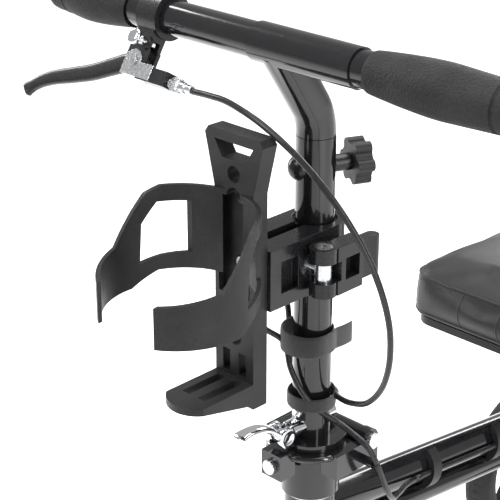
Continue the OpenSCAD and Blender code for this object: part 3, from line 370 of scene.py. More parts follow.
def mesh_piece(name: str, points: Array, faces: Sequence[Sequence[int]], smooth: bool = True) -> MeshObject:
    """Makes an object from points and faces, with its place in its mesh.

    Args:
        name: The piece's name.
        points: An array of N points.
        faces: Point numbers of each face.
        smooth: Whether the faces are shaded smoothly.

    Returns:
        The new object, linked into the scene.
    """
    data = bpy.data.meshes.new(name)
    data.from_pydata(np.asarray(points, dtype=float).reshape(-1, 3).tolist(), [], [list(f) for f in faces])
    data.polygons.foreach_set("use_smooth", np.full(len(data.polygons), smooth))
    data.update()
    piece = bpy.data.objects.new(name, data)
    bpy.context.scene.collection.objects.link(piece)
    return piece


def grid_faces(rows: int, columns: int, wrap_rows: bool, wrap_columns: bool) -> Array:
    """Quads between neighbouring points of a grid, as one array of index arithmetic."""
    r = np.arange(rows if wrap_rows else rows - 1)
    c = np.arange(columns if wrap_columns else columns - 1)
    i, j = np.meshgrid(r, c, indexing="ij")
    a = i * columns + j
    b = i * columns + (j + 1) % columns
    d = ((i + 1) % rows) * columns + j
    e = ((i + 1) % rows) * columns + (j + 1) % columns
    return np.stack([a, b, e, d], axis=-1).reshape(-1, 4)


def skin(name: str, grid: Array, wrap_rows: bool = False, wrap_columns: bool = True, caps: bool = True) -> MeshObject:
    """Covers a grid of points with quads, closing both ends with a face each.

    Args:
        name: The piece's name.
        grid: Points as rows by columns by 3.
        wrap_rows: Whether the last row joins the first.
        wrap_columns: Whether the last column joins the first.
        caps: Whether the first and last rows are closed.

    Returns:
        The new object.
    """
    rows, columns = grid.shape[:2]
    faces = grid_faces(rows, columns, wrap_rows, wrap_columns).tolist()
    if caps and not wrap_rows:
        faces.append(list(range(columns))[::-1])
        faces.append([(rows - 1) * columns + k for k in range(columns)])
    piece = mesh_piece(name, grid, faces)
    face_outwards(piece)
    return piece


def face_outwards(piece: MeshObject) -> None:
    """Turns every face of a closed piece outwards."""
    work = bmesh.new()
    work.from_mesh(piece.data)
    bmesh.ops.remove_doubles(work, verts=work.verts, dist=1e-7)
    bmesh.ops.recalc_face_normals(work, faces=work.faces)
    work.to_mesh(piece.data)
    work.free()


def smooth_line(points: Sequence[Point] | Array, steps: int) -> Array:
    """A Catmull-Rom curve through points: each span is the cubic whose end slopes are half
    the step between the neighbours on each side.

    Args:
        points: The points that the curve passes through.
        steps: Steps from one point to the next.

    Returns:
        The points of the curve, as an array.
    """
    p = np.asarray(points, dtype=float)
    before, after = np.vstack([p[:1], p[:-2]]), np.vstack([p[2:], p[-1:]])
    a, d = before[:, None, :], after[:, None, :]
    b, c = p[:-1, None, :], p[1:, None, :]
    t = (np.arange(steps) / steps)[None, :, None]
    curve = 0.5 * (2 * b + (c - a) * t + (2 * a - 5 * b + 4 * c - d) * t**2 + (3 * b - a - 3 * c + d) * t**3)
    return np.vstack([curve.reshape(-1, 3), p[-1:]])


def carried_frames(path: Array, up: Point = (0.0, 0.0, 1.0)) -> tuple[Array, Array, Array]:
    """Tangent, normal and side direction at each point of a path, carried without twist."""
    tangent = np.gradient(path, axis=0)
    tangent /= np.linalg.norm(tangent, axis=1, keepdims=True)
    normal = np.empty_like(path)
    first = np.cross(tangent[0], up)
    if np.linalg.norm(first) < 1e-3:
        first = np.cross(tangent[0], (1.0, 0.0, 0.0))
    normal[0] = first / np.linalg.norm(first)
    for i in range(1, len(path)):
        step = normal[i - 1] - tangent[i] * np.dot(normal[i - 1], tangent[i])
        normal[i] = step / np.linalg.norm(step)
    return tangent, normal, np.cross(tangent, normal)


def tube_along(name: str, path: Array, radius: float | Array, sides: int = 16, flat: float = 1.0) -> MeshObject:
    """A round or oval tube carried along a path: each ring is radius times cosine along
    the normal and radius times flat times sine along the side direction.

    Args:
        name: The piece's name.
        path: The centre line.
        radius: One radius, or one at each point.
        sides: Points in each ring.
        flat: Height of the section as a share of its width.

    Returns:
        The closed tube.
    """
    _, normal, side = carried_frames(path)
    angle = np.linspace(0, 2 * math.pi, sides, endpoint=False)
    r = np.broadcast_to(np.asarray(radius, dtype=float), (len(path),))[:, None, None]
    ring = np.cos(angle)[None, :, None] * normal[:, None, :] + flat * np.sin(angle)[None, :, None] * side[:, None, :]
    return skin(name, path[:, None, :] + r * ring)


def section_along(name: str, path: Array, section: Array, across: Array, outward: Array) -> MeshObject:
    """A closed outline carried along a path: the outline's first number runs along across
    and its second along outward, at each point of the path."""
    grid = (
        path[:, None, :]
        + section[..., 0:1] * across[:, None, :]
        + section[..., 1:2] * outward[:, None, :]
    )
    return skin(name, grid)


def turned(
    name: str, profile: Sequence[tuple[float, float]] | Array, origin: Point, axis: Point, sides: int = 48
) -> MeshObject:
    """A turned piece: the profile's radius goes round the axis at the profile's height.

    Args:
        name: The piece's name.
        profile: Pairs of height along the axis and radius.
        origin: The point at height 0.
        axis: The axis' direction.
        sides: Points in each ring.

    Returns:
        The closed piece.
    """
    w = np.asarray(axis, dtype=float)
    w /= np.linalg.norm(w)
    u = np.cross(w, (0.0, 0.0, 1.0) if abs(w[2]) < 0.9 else (1.0, 0.0, 0.0))
    u /= np.linalg.norm(u)
    v = np.cross(w, u)
    p = np.asarray(profile, dtype=float)
    angle = np.linspace(0, 2 * math.pi, sides, endpoint=False)
    ring = np.cos(angle)[:, None] * u + np.sin(angle)[:, None] * v
    grid = np.asarray(origin) + p[:, 0][:, None, None] * w + p[:, 1][:, None, None] * ring[None]
    return skin(name, grid)


def rounded(piece: MeshObject, width: float, segments: int = 2, angle: float = 32.0) -> MeshObject:
    """Rounds a piece's sharp edges with a bevel, leaving its curved faces as they are."""
    bevel = piece.modifiers.new("rounding", "BEVEL")
    bevel.width = width
    bevel.segments = segments
    bevel.limit_method = "ANGLE"
    bevel.angle_limit = math.radians(angle)
    bevel.use_clamp_overlap = True
    bevel.harden_normals = True
    return piece


def merged_copy(node: str) -> MeshObject:
    """A copy of a CAD node with its triangles joined and its flat faces made whole.

    Args:
        node: The CAD node.

    Returns:
        The copy, which stands for the node.
    """
    source = frame["nodes"][node]
    data = source.data.copy()
    data.name = node + "_made"
    work = bmesh.new()
    work.from_mesh(data)
    bmesh.ops.remove_doubles(work, verts=work.verts, dist=2e-6)
    bmesh.ops.dissolve_limit(work, angle_limit=math.radians(1.0), verts=work.verts, edges=work.edges)
    bmesh.ops.recalc_face_normals(work, faces=work.faces)
    work.to_mesh(data)
    work.free()
    if "custom_normal" in data.attributes:
        data.attributes.remove(data.attributes["custom_normal"])
    data.polygons.foreach_set("use_smooth", np.full(len(data.polygons), True))
    data.set_sharp_from_angle(angle=math.radians(32.0))
    piece = bpy.data.objects.new(node + "_made", data)
    bpy.context.scene.collection.objects.link(piece)
    return piece


# ---------------------------------------------------------------- stage


@dataclass
class Studio:
    """Pale floor, soft lights and the camera."""

    wardrobe: Wardrobe
    column_y: float
    aim_turn: float = 44.5
    aim_down: float = 23.7
    camera_out: Point = (0.752, -0.838, 1.110)
    lens: float = 111.0
    floor_radius: float = 9.0

    def build(self) -> None:
        """Makes the floor, the lights and the camera."""
        self.floor()
        self.light("key", (-0.6, -2.6, 2.6), (1.3, 1.3), 78.0)
        self.light("left_strip", (2.4, -0.6, 1.4), (0.35, 2.2), 52.0)
        self.light("right_strip", (-2.2, -0.4, 1.5), (0.35, 2.2), 46.0)
        self.light("top", (0.0, 0.6, 3.0), (2.2, 2.2), 84.0)
        self.light("back", (-0.8, 3.0, 1.9), (2.2, 1.0), 60.0)
        self.world()
        self.camera()

    def floor(self) -> None:
        """A wide round floor, a disc whose edge lies far outside the view."""
        turn = np.linspace(0, 2 * math.pi, 64, endpoint=False)
        edge = np.stack([self.floor_radius * np.cos(turn), self.floor_radius * np.sin(turn), np.zeros(64)], axis=1)
        floor = mesh_piece("floor", edge, [list(range(64))])
        self.wardrobe.dress(floor, "stage_white")

    def light(self, name: str, place: Point, size: tuple[float, float], power: float) -> None:
        """One soft rectangular light aimed at the scooter's middle."""
        data = bpy.data.lights.new(name, "AREA")
        data.shape = "RECTANGLE"
        data.size, data.size_y = size
        data.energy = power
        lamp = bpy.data.objects.new(name, data)
        lamp.location = place
        lamp.rotation_euler = (Vector((0.0, 0.0, 0.55)) - Vector(place)).to_track_quat("-Z", "Y").to_euler()
        bpy.context.scene.collection.objects.link(lamp)

    def world(self) -> None:
        """Even white surroundings."""
        world = bpy.data.worlds.new("studio")
        world.use_nodes = True
        ground = next(n for n in world.node_tree.nodes if n.type == "BACKGROUND")
        ground.inputs["Color"].default_value = (1.0, 1.0, 1.0, 1.0)
        ground.inputs["Strength"].default_value = 0.5
        bpy.context.scene.world = world
        bpy.context.scene.view_settings.view_transform = "Standard"

    def camera(self) -> None:
        """The camera in front of the scooter, to its left and above."""
        data = bpy.data.cameras.new("camera")
        data.sensor_width = 36.0
        data.lens = self.lens
        camera = bpy.data.objects.new("camera", data)
        x, y, z = self.camera_out
        camera.location = (x, y + self.column_y, z)
        camera.rotation_euler = (math.radians(90.0 - self.aim_down), 0.0, math.radians(self.aim_turn))
        bpy.context.scene.collection.objects.link(camera)
        bpy.context.scene.camera = camera


# ---------------------------------------------------------------- assemblies


def column_place() -> float:
    """Distance of the column's axis from the origin along Y, from the CAD column."""
    low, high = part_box("column_tube")
    return (low[1] + high[1]) / 2


def body_of_node(node: str) -> str:
    """The body that a CAD node belongs to."""
    bodies = frame["record"]["behaviour"]["bodies"]
    return next(body for body, nodes in bodies.items() if node in nodes)


@dataclass
class Assembly:
    """A group of pieces that share their sizes and are dressed together."""

    wardrobe: Wardrobe
    count: int = 0

    def build(self) -> int:
        """Builds the pieces.

        Returns:
            How many pieces there are.
        """
        raise NotImplementedError

    def keep(self, node: str, finish: str) -> None:
        """Leaves a CAD node's shape and gives it a finish."""
        self.wardrobe.dress(frame["nodes"][node], finish)
        self.count += 1

    def soften(self, node: str, finish: str, width_mm: float, segments: int = 2) -> MeshObject:
        """Stands a copy with rounded edges in a CAD node's place."""
        piece = rounded(merged_copy(node), width_mm * MM, segments)
        return self.mount(piece, finish, body_of_node(node), node)

    def mount(self, piece: MeshObject, finish: str, body: str, *nodes: str) -> MeshObject:
        """Dresses a new piece, sets its body and hides the CAD nodes that it stands for."""
        self.wardrobe.dress(piece, finish)
        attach(piece, body)
        if nodes:
            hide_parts(*nodes)
        self.count += 1
        return piece


@dataclass
class Chassis(Assembly):
    """Main frame, steering and seat hardware: CAD shapes with their edges rounded."""

    edges: dict[str, tuple[str, float]] = field(default_factory=lambda: {
        "main_frame": ("gloss_black_paint", 0.8),
        "steerer": ("gloss_black_paint", 0.9),
        "pitman_arm": ("gloss_black_paint", 0.8),
        "fold_bolt": ("brushed_steel", 0.7),
        "column_foot": ("gloss_black_paint", 0.8),
        "seat_post": ("satin_black_paint", 0.6),
        "seat_knob": ("black_plastic", 1.4),
        "knuckle_left": ("gloss_black_paint", 0.8),
        "knuckle_right": ("gloss_black_paint", 0.8),
        "knuckle_nuts_left": ("brushed_steel", 0.6),
        "knuckle_nuts_right": ("brushed_steel", 0.6),
        "rear_axle": ("brushed_steel", 0.6),
        "brake_drum": ("cast_alloy", 0.8),
        "brake_backplate": ("cast_alloy", 0.6),
        "brake_arm": ("brushed_steel", 0.6),
        "cable_clips": ("black_plastic", 0.5),
        "pad_board": ("black_plastic", 1.5),
        "rim_front_left": ("black_plastic", 1.2),
        "rim_front_right": ("black_plastic", 1.2),
        "rim_rear_left": ("black_plastic", 1.2),
        "rim_rear_right": ("black_plastic", 1.2),
    })
    kept: dict[str, str] = field(default_factory=lambda: {
        "head_bearings": "brushed_steel",
        "tie_rod_left": "satin_black_paint",
        "tie_rod_right": "satin_black_paint",
        "brake_shoes": "satin_black_paint",
    })

    def build(self) -> int:
        """Rounds the edges of the hardware and dresses what stays."""
        for node, (finish, width) in self.edges.items():
            self.soften(node, finish, width)
        for node, finish in self.kept.items():
            self.keep(node, finish)
        return self.count


@dataclass
class Wheels(Assembly):
    """The four tyres with their crowned section and tread."""

    nodes: tuple[str, ...] = ("tyre_front_left", "tyre_front_right", "tyre_rear_left", "tyre_rear_right")
    blocks: int = 60
    groove: float = 0.0012

    def build(self) -> int:
        """Makes the tyres."""
        for node in self.nodes:
            self.tyre(node)
        return self.count

    def tyre(self, node: str) -> None:
        """One tyre: a section of a flat seat and a half-round crown carried round the axle,
        sunk by the groove's depth where the tread's two slanted waves meet, and at a centre line.

        Args:
            node: The CAD tyre that this one stands for.
        """
        low, high = (np.array(c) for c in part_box(node))
        middle = (low + high) / 2
        outer = (high[2] - low[2]) / 2
        crown = (high[0] - low[0]) / 2
        seat = outer - 26 * MM
        sweep = np.linspace(-1.0, 1.0, 29) * math.radians(97)
        across = crown * np.sin(sweep)
        radius = outer - crown + crown * np.cos(sweep)
        across = np.concatenate([[-14 * MM], across, [14 * MM]])
        radius = np.concatenate([[seat], radius, [seat]])
        turn = np.linspace(0, 2 * math.pi, self.blocks * 8, endpoint=False)
        slant = np.abs(across)[None, :] / crown
        wave = np.cos(self.blocks * turn[:, None] + 5.0 * slant)
        tread = (radius > outer - 6.5 * MM)[None, :] & ((wave > 0.72) & (slant > 0.22) | (slant < 0.03))
        r = radius[None, :] - self.groove * tread
        grid = np.stack([
            np.broadcast_to(middle[0] + across, r.shape),
            middle[1] + r * np.sin(turn)[:, None],
            middle[2] + r * np.cos(turn)[:, None],
        ], axis=-1)
        piece = skin(node + "_made", grid, wrap_rows=True, wrap_columns=True, caps=False)
        self.mount(piece, "tyre_rubber", body_of_node(node), node)


@dataclass
class Column(Assembly):
    """Column, stem, handlebar, clamp bolt, star knob, fold skewer and snap button."""

    edges: dict[str, tuple[str, float]] = field(default_factory=lambda: {
        "column_tube": ("gloss_black_paint", 0.5),
        "stem": ("gloss_black_paint", 0.7),
        "handlebar": ("gloss_black_paint", 0.5),
        "stem_bolt": ("shiny_black_plastic", 0.5),
        "star_knob": ("black_plastic", 1.6),
        "fold_skewer": ("chrome_plate", 0.6),
        "snap_button": ("chrome_plate", 0.5),
        "cage_clamp": ("shiny_black_plastic", 1.3),
        "clamp_lever": ("shiny_black_plastic", 1.6),
        "clamp_bolt": ("brushed_steel", 0.8),
        "bottle_cage": ("black_plastic", 0.9),
        "cage_screw": ("brushed_steel", 0.4),
        "brake_perch": ("satin_black_paint", 0.9),
        "lever_pivot": ("brushed_steel", 0.3),
    })

    def build(self) -> int:
        """Rounds the edges of the column's hardware."""
        for node, (finish, width) in self.edges.items():
            self.soften(node, finish, width, 3 if width > 1 else 2)
        self.keep("clamp_liner", "smooth_rubber")
        return self.count


@dataclass
class Grips(Assembly):
    """Barrel-shaped grips of dimpled rubber."""

    end_radius: float = 16 * MM
    peak_radius: float = 20.25 * MM
    left_peak: float = 61 * MM
    left_ring: float = 109 * MM
    right_peak: float = 48 * MM
    right_ring: float = 74 * MM

    def build(self) -> int:
        """Makes both grips."""
        self.grip("grip_left", 1.0, self.left_peak, self.left_ring)
        self.grip("grip_right", -1.0, self.right_peak, self.right_ring)
        return self.count

    def grip(self, node: str, side: float, peak: float, ring: float) -> None:
        """One grip: its radius swells from the inner end to a peak, falls to a shallow ring,
        and falls again to a rounded closed end, as a smooth curve through a few stations.

        Args:
            node: The CAD grip.
            side: 1 on the left, -1 on the right.
            peak: Distance of the widest place from the inner end.
            ring: Distance of the shallow ring from the inner end.
        """
        low, high = (np.array(c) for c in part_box(node))
        length = high[0] - low[0]
        start = np.array([low[0] if side > 0 else high[0], (low[1] + high[1]) / 2, (low[2] + high[2]) / 2])
        e, p = self.end_radius, self.peak_radius
        stations = [
            (0.0, e - 0.8 * MM), (0.8 * MM, e), (peak * 0.4, e + 0.55 * (p - e)), (peak * 0.75, e + 0.9 * (p - e)),
            (peak, p), (peak * 1.2, p - 0.4 * MM), (ring - 4 * MM, p - 1.7 * MM), (ring - 1.2 * MM, p - 1.9 * MM),
            (ring, p - 2.7 * MM), (ring + 1.2 * MM, p - 1.9 * MM), (ring + 4 * MM, p - 2.5 * MM),
            (length - 9 * MM, e + 1.6 * MM), (length - 3 * MM, e + 0.9 * MM), (length - 0.8 * MM, e - 0.8 * MM),
            (length, e - 3 * MM),
        ]
        line = smooth_line([(s, r, 0.0) for s, r in stations], 6)
        piece = turned(node + "_made", line[:, :2], tuple(start), (side, 0.0, 0.0), 64)
        self.mount(piece, "grip_rubber", "stem_body", node)


@dataclass
class LeverFrame:
    """The brake lever's own frame: x along the bar, y towards the bar, z along the pivot."""

    plane: float = math.radians(58.0)
    pivot: Array = field(default_factory=lambda: np.zeros(3))

    def __post_init__(self) -> None:
        """Reads the pivot's place from the joint."""
        joint = next(j for j in frame["joints"] if j["name"] == "brake_lever_squeeze")
        self.pivot = np.array(joint["pos_m"], dtype=float)

    def world(self, local: Array) -> Array:
        """Points given in millimetres in the lever's frame, in the scooter's frame."""
        p = np.asarray(local, dtype=float) * MM
        c, s = math.cos(self.plane), math.sin(self.plane)
        y = p[..., 1] * c - p[..., 2] * s
        z = p[..., 1] * s + p[..., 2] * c
        return np.stack([p[..., 0], y, z], axis=-1) + self.pivot

    def direction(self, local: Point) -> Array:
        """A direction given in the lever's frame, in the scooter's frame."""
        return self.world(np.array(local)) / MM - self.pivot / MM


@dataclass
class BrakeControls(Assembly):
    """Curved lever blade, parking button and knurled cable adjuster."""

    lever_mid_z: float = -8.0

    def build(self) -> int:
        """Makes the lever's own pieces."""
        place = LeverFrame()
        self.blade(place)
        self.button(place)
        self.adjuster(place)
        return self.count

    def blade(self, place: LeverFrame) -> None:
        """The blade: a rounded section, wide in the lever's plane, carried along its curve.
        Its width falls from the hub to a narrow neck and swells again at the ball end.

        Args:
            place: The lever's frame.
        """
        z = self.lever_mid_z
        spine = smooth_line([(8, -2, z), (0, -1, z), (-12, -2, z), (-28, -9, z), (-46, -17.5, z), (-66, -24.5, z),
                             (-86, -31, z), (-100, -37.5, z), (-110, -45, z), (-114.5, -49.5, z)], 8)
        n = len(spine)
        s = np.linspace(0, 1, n)
        half = np.interp(
            s, [0, 0.06, 0.14, 0.3, 0.6, 0.85, 0.95, 0.985, 1.0], [4, 8.6, 8.4, 7.6, 6.6, 5.2, 6.4, 5.4, 2.5]
        )
        thick = np.interp(s, [0, 0.2, 0.5, 0.9, 0.97, 1.0], [3.9, 3.9, 3.5, 3.2, 3.6, 1.6])
        angle = np.linspace(0, 2 * math.pi, 28, endpoint=False)
        cos, sin = np.cos(angle), np.sin(angle)
        wide = np.sign(cos) * np.abs(cos) ** 0.7
        deep = np.sign(sin) * np.abs(sin) ** 0.6
        path = place.world(spine)
        tangent = np.gradient(path, axis=0)
        tangent /= np.linalg.norm(tangent, axis=1, keepdims=True)
        up = np.broadcast_to(place.direction((0, 0, 1)), tangent.shape)
        across = np.cross(up, tangent)
        section = np.stack([half[:, None] * wide[None, :], thick[:, None] * deep[None, :]], axis=-1) * MM
        piece = section_along("brake_lever_made", path, section, across, up)
        self.mount(piece, "satin_black_paint", "brake_lever_body", "brake_lever")

    def button(self, place: LeverFrame) -> None:
        """The parking button: a post with a waisted neck and a domed head."""
        profile = [(0, 0.5), (0, 3.5), (15.5, 3.5), (16.5, 2.6), (18.2, 2.6), (19.0, 5.2), (19.4, 6.2), (20.2, 6.5),
                   (22.4, 6.5), (23.3, 6.0), (23.9, 4.4), (24.1, 1.5)]
        origin = place.world(np.array([7.0, 16.0, -6.0]))
        axis = tuple(place.direction((0, 0, 1)))
        piece = turned("park_button_made", np.array(profile) * MM, tuple(origin), axis, 40)
        self.mount(piece, "chrome_plate", "park_button_body", "park_button")

    def adjuster(self, place: LeverFrame) -> None:
        """The barrel adjuster: threaded stub, knurled nut, collar and ferrule. The knurls are
        24 cosine ridges on the nut's radius."""
        origin = place.world(np.array([40.0, -8.0, self.lever_mid_z + 1.0]))
        stations = [(0.05, 3.3), (0.6, 3.6), (1.2, 3.2), (1.8, 3.6), (2.4, 3.2), (3.0, 3.6), (3.2, 5.0), (3.8, 5.6),
                    (11.2, 5.6), (11.9, 5.0), (12.1, 4.2), (13.0, 4.4), (17.4, 4.4), (18.0, 3.8), (18.3, 3.3),
                    (24.0, 3.3), (24.4, 2.9)]
        p = np.array(stations)
        turn = np.linspace(0, 2 * math.pi, 96, endpoint=False)
        ridged = ((p[:, 0] > 3.4) & (p[:, 0] < 11.7))[:, None] * 0.35 * np.cos(24 * turn)[None, :]
        radius = (p[:, 1][:, None] + ridged)
        grid = np.stack([
            np.broadcast_to(p[:, 0][:, None], radius.shape),
            radius * np.cos(turn)[None, :],
            radius * np.sin(turn)[None, :],
        ], axis=-1)
        grid = place.world(grid) - place.pivot + origin
        piece = skin("cable_adjuster_made", grid)
        self.mount(rounded(piece, 0.15 * MM, 1, 40.0), "brushed_steel", "stem_body", "cable_adjuster")


@dataclass
class FoldLever(Assembly):
    """Chrome quick-release lever: two round cheeks and a curved blade."""

    def build(self) -> int:
        """Makes the lever."""
        joint = next(j for j in frame["joints"] if j["name"] == "fold_lever_turn")
        centre = np.array(joint["pos_m"], dtype=float)
        for name, side in (("fold_cheek_left", 1.0), ("fold_cheek_right", -1.0)):
            profile = np.array([(4.3, 2.0), (4.3, 8.4), (4.8, 9.0), (8.9, 9.0), (9.4, 8.5), (9.5, 5.2), (9.0, 4.8),
                                (9.0, 0.6)]) * MM
            cheek = turned(name, profile, tuple(centre), (side, 0.0, 0.0), 48)
            self.mount(cheek, "chrome_plate", "fold_lever_body", "fold_lever")
        self.blade(centre)
        return self.count

    def blade(self, centre: Array) -> None:
        """The blade: a flattened section that rises from the cam, narrows along its arch and
        flares again at its tip.

        Args:
            centre: The cam's axis.
        """
        side = np.array([
            (0, -6.0, 1.5), (0, -11, 7.5), (0, -18, 13.0), (0, -27, 16.5), (0, -38, 18.0), (0, -46, 17.6), (0, -50, 16.4),
        ], dtype=float)
        path = smooth_line(side, 8) * MM + centre
        s = np.linspace(0, 1, len(path))
        half = np.interp(s, [0, 0.1, 0.35, 0.7, 0.9, 1.0], [9.4, 9.2, 7.2, 6.6, 7.4, 3.6])
        thick = np.interp(s, [0, 0.12, 0.4, 0.8, 1.0], [4.2, 4.0, 2.6, 2.0, 1.2])
        angle = np.linspace(0, 2 * math.pi, 24, endpoint=False)
        wide = np.sign(np.cos(angle)) * np.abs(np.cos(angle)) ** 0.6
        deep = np.sin(angle)
        tangent = np.gradient(path, axis=0)
        tangent /= np.linalg.norm(tangent, axis=1, keepdims=True)
        across = np.broadcast_to(np.array([1.0, 0.0, 0.0]), tangent.shape)
        up = np.cross(tangent, across)
        section = np.stack([half[:, None] * wide[None], thick[:, None] * deep[None]], axis=-1) * MM
        self.mount(section_along("fold_lever_blade", path, section, across, up), "chrome_plate", "fold_lever_body")


@dataclass
class BrakeCable(Assembly):
    """The brake cable's housing along its one route, and the inner wire."""

    radius: float = 2.5 * MM
    column_y: float = 0.0
    route: tuple[Point, ...] = (
        (-60, -73.5, 751.5), (-40, -75, 753), (-16, -77, 753), (20, -78, 744), (56, -73, 722), (86, -65, 690),
        (106, -55, 652), (115, -46, 612), (112, -38, 575), (98, -28, 541), (74, -16, 513), (46, -4, 497),
        (24, 5, 491), (12, 16, 488), (-4, 19.6, 488), (-17, 10, 494), (-22, 2, 510),
        (-27, 2, 536), (-32, 2, 564), (-37, -8, 586), (-39, -26, 594), (-37, -44, 588), (-31, -48, 570),
        (-22, -35, 552), (-14, -19, 536), (-5, -20.5, 516), (6, -19.5, 499), (15, -14, 486), (19.6, -4, 475),
        (23, 6, 466), (34, 11, 459), (50, 15, 449), (56, 20, 434),
        (57, 30, 410), (50, 50, 384), (32, 82, 366), (20, 120, 358),
        (19.5, 200, 346.5), (19.5, 300, 332), (20, 345, 325.5), (25, 404, 317), (19.5, 460, 309), (22, 500, 300),
        (36, 526, 276), (62, 530, 236), (92, 532, 196), (114, 534, 162), (121, 538, 146), (121, 550.5, 145),
    )
    steps: int = 6

    def build(self) -> int:
        """Makes the five stretches, each on its own body, or, where it crosses a joint, fixed in place on no body."""
        self.column_y = column_place()
        line = smooth_line(self.route, self.steps) * MM + np.array([0.0, self.column_y, 0.0])
        self.stretch(line, "cable_loop", 0, 12, "stem_body", "column", reverse=False)
        self.stretch(line, "cable_column", 12, 29, "column")
        self.stretch(line, "cable_fold", 29, 32, "steering_head", "column", reverse=True)
        self.stretch(line, "cable_steer", 32, 36, "frame", "steering_head", reverse=True)
        self.stretch(line, "cable_frame", 36, len(self.route) - 1, "frame")
        self.inner_wire(line[-1])
        return self.count

    def stretch(self, line: Array, node: str, first: int, last: int, body: str, other: str | None = None,
                reverse: bool = False) -> None:
        """One stretch of housing between two route points.

        Args:
            line: The whole smooth route.
            node: The CAD stretch.
            first: Route point where it starts.
            last: Route point where it ends.
            body: The body that it rides on when other is not given.
            other: A second body, for a stretch across a joint; when given, the stretch is fixed in place on no body.
            reverse: Not used.
        """
        part = line[first * self.steps : last * self.steps + 1]
        piece = tube_along(node + "_made", part, self.radius, 16)
        self.wardrobe.dress(piece, "cable_sheath")
        if other is None:
            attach(piece, body)
        else:
            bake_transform(piece)
        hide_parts(node)
        self.count += 1

    def inner_wire(self, stop: Array) -> None:
        """The bare wire from the cable stop to the brake arm's end."""
        low, high = (np.array(c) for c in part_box("brake_arm"))
        arm_end = np.array([stop[0] + 5.5 * MM, (low[1] + high[1]) / 2, stop[2]])
        wire = smooth_line([tuple(stop), tuple(stop * 0.5 + arm_end * 0.5), tuple(arm_end)], 6)
        piece = tube_along("inner_wire", wire, 0.8 * MM, 10)
        self.wardrobe.dress(piece, "brushed_steel")
        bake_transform(piece)
        self.count += 1


@dataclass(frozen=True)
class StrapShape:
    """Sizes of one strap, in millimetres and degrees: its loop's centre lies off the column's
    axis by middle, radius is that of its middle surface, and tab is how far its end stands out."""

    node: str
    middle: tuple[float, float]
    radius: float
    height: float
    width: float
    start_deg: float
    lap_deg: float
    wave: float
    tab: float


@dataclass
class Straps(Assembly):
    """The two hook-and-loop straps round the column."""

    thick: float = 1.5 * MM
    lift: float = 1.7
    steps: int = 150
    shapes: tuple[StrapShape, ...] = (
        StrapShape("lower_strap", (2.05, -2.05), 19.75, 486.0, 12.0, 70.0, 100.0, 0.4, 0.0),
        StrapShape("upper_strap", (-1.94, -4.17), 21.45, 540.0, 19.0, 20.0, 40.0, 1.0, 15.0),
    )

    def build(self) -> int:
        """Makes both straps."""
        for strap in self.shapes:
            self.band(strap, column_place())
        return self.count

    def band(self, strap: StrapShape, column: float) -> None:
        """One strap: a thin rounded section carried once round the column and on over its own
        start, a thickness further out, its edge waving slightly.

        Args:
            strap: The strap's sizes.
            column: Distance of the column from the origin along Y.
        """
        turn = np.radians(np.linspace(strap.start_deg, strap.start_deg + 360.0 + strap.lap_deg, self.steps))
        s = np.linspace(0, 1, self.steps)
        over = np.clip((s * (360 + strap.lap_deg) - 345.0) / 30.0, 0, 1)
        r = strap.radius + self.lift * over + strap.tab * np.clip((s - 0.935) / 0.065, 0, 1) ** 1.4
        path = np.stack([
            strap.middle[0] + r * np.cos(turn),
            strap.middle[1] + r * np.sin(turn) + column / MM,
            strap.height + strap.wave * np.sin(3 * turn) * 0.4,
        ], axis=-1) * MM
        tangent = np.gradient(path, axis=0)
        tangent /= np.linalg.norm(tangent, axis=1, keepdims=True)
        up = np.broadcast_to(np.array([0.0, 0.0, 1.0]), tangent.shape)
        out = np.cross(tangent, up)
        angle = np.linspace(0, 2 * math.pi, 24, endpoint=False)
        wide_shape = np.sign(np.cos(angle)) * np.abs(np.cos(angle)) ** 0.35 * strap.width / 2 * MM
        thick_shape = np.sign(np.sin(angle)) * np.abs(np.sin(angle)) ** 0.6 * self.thick / 2
        section = np.broadcast_to(np.stack([wide_shape, thick_shape], axis=-1), (self.steps, 24, 2))
        self.mount(section_along(strap.node + "_made", path, section, up, out), "strap_loops", "column", strap.node)


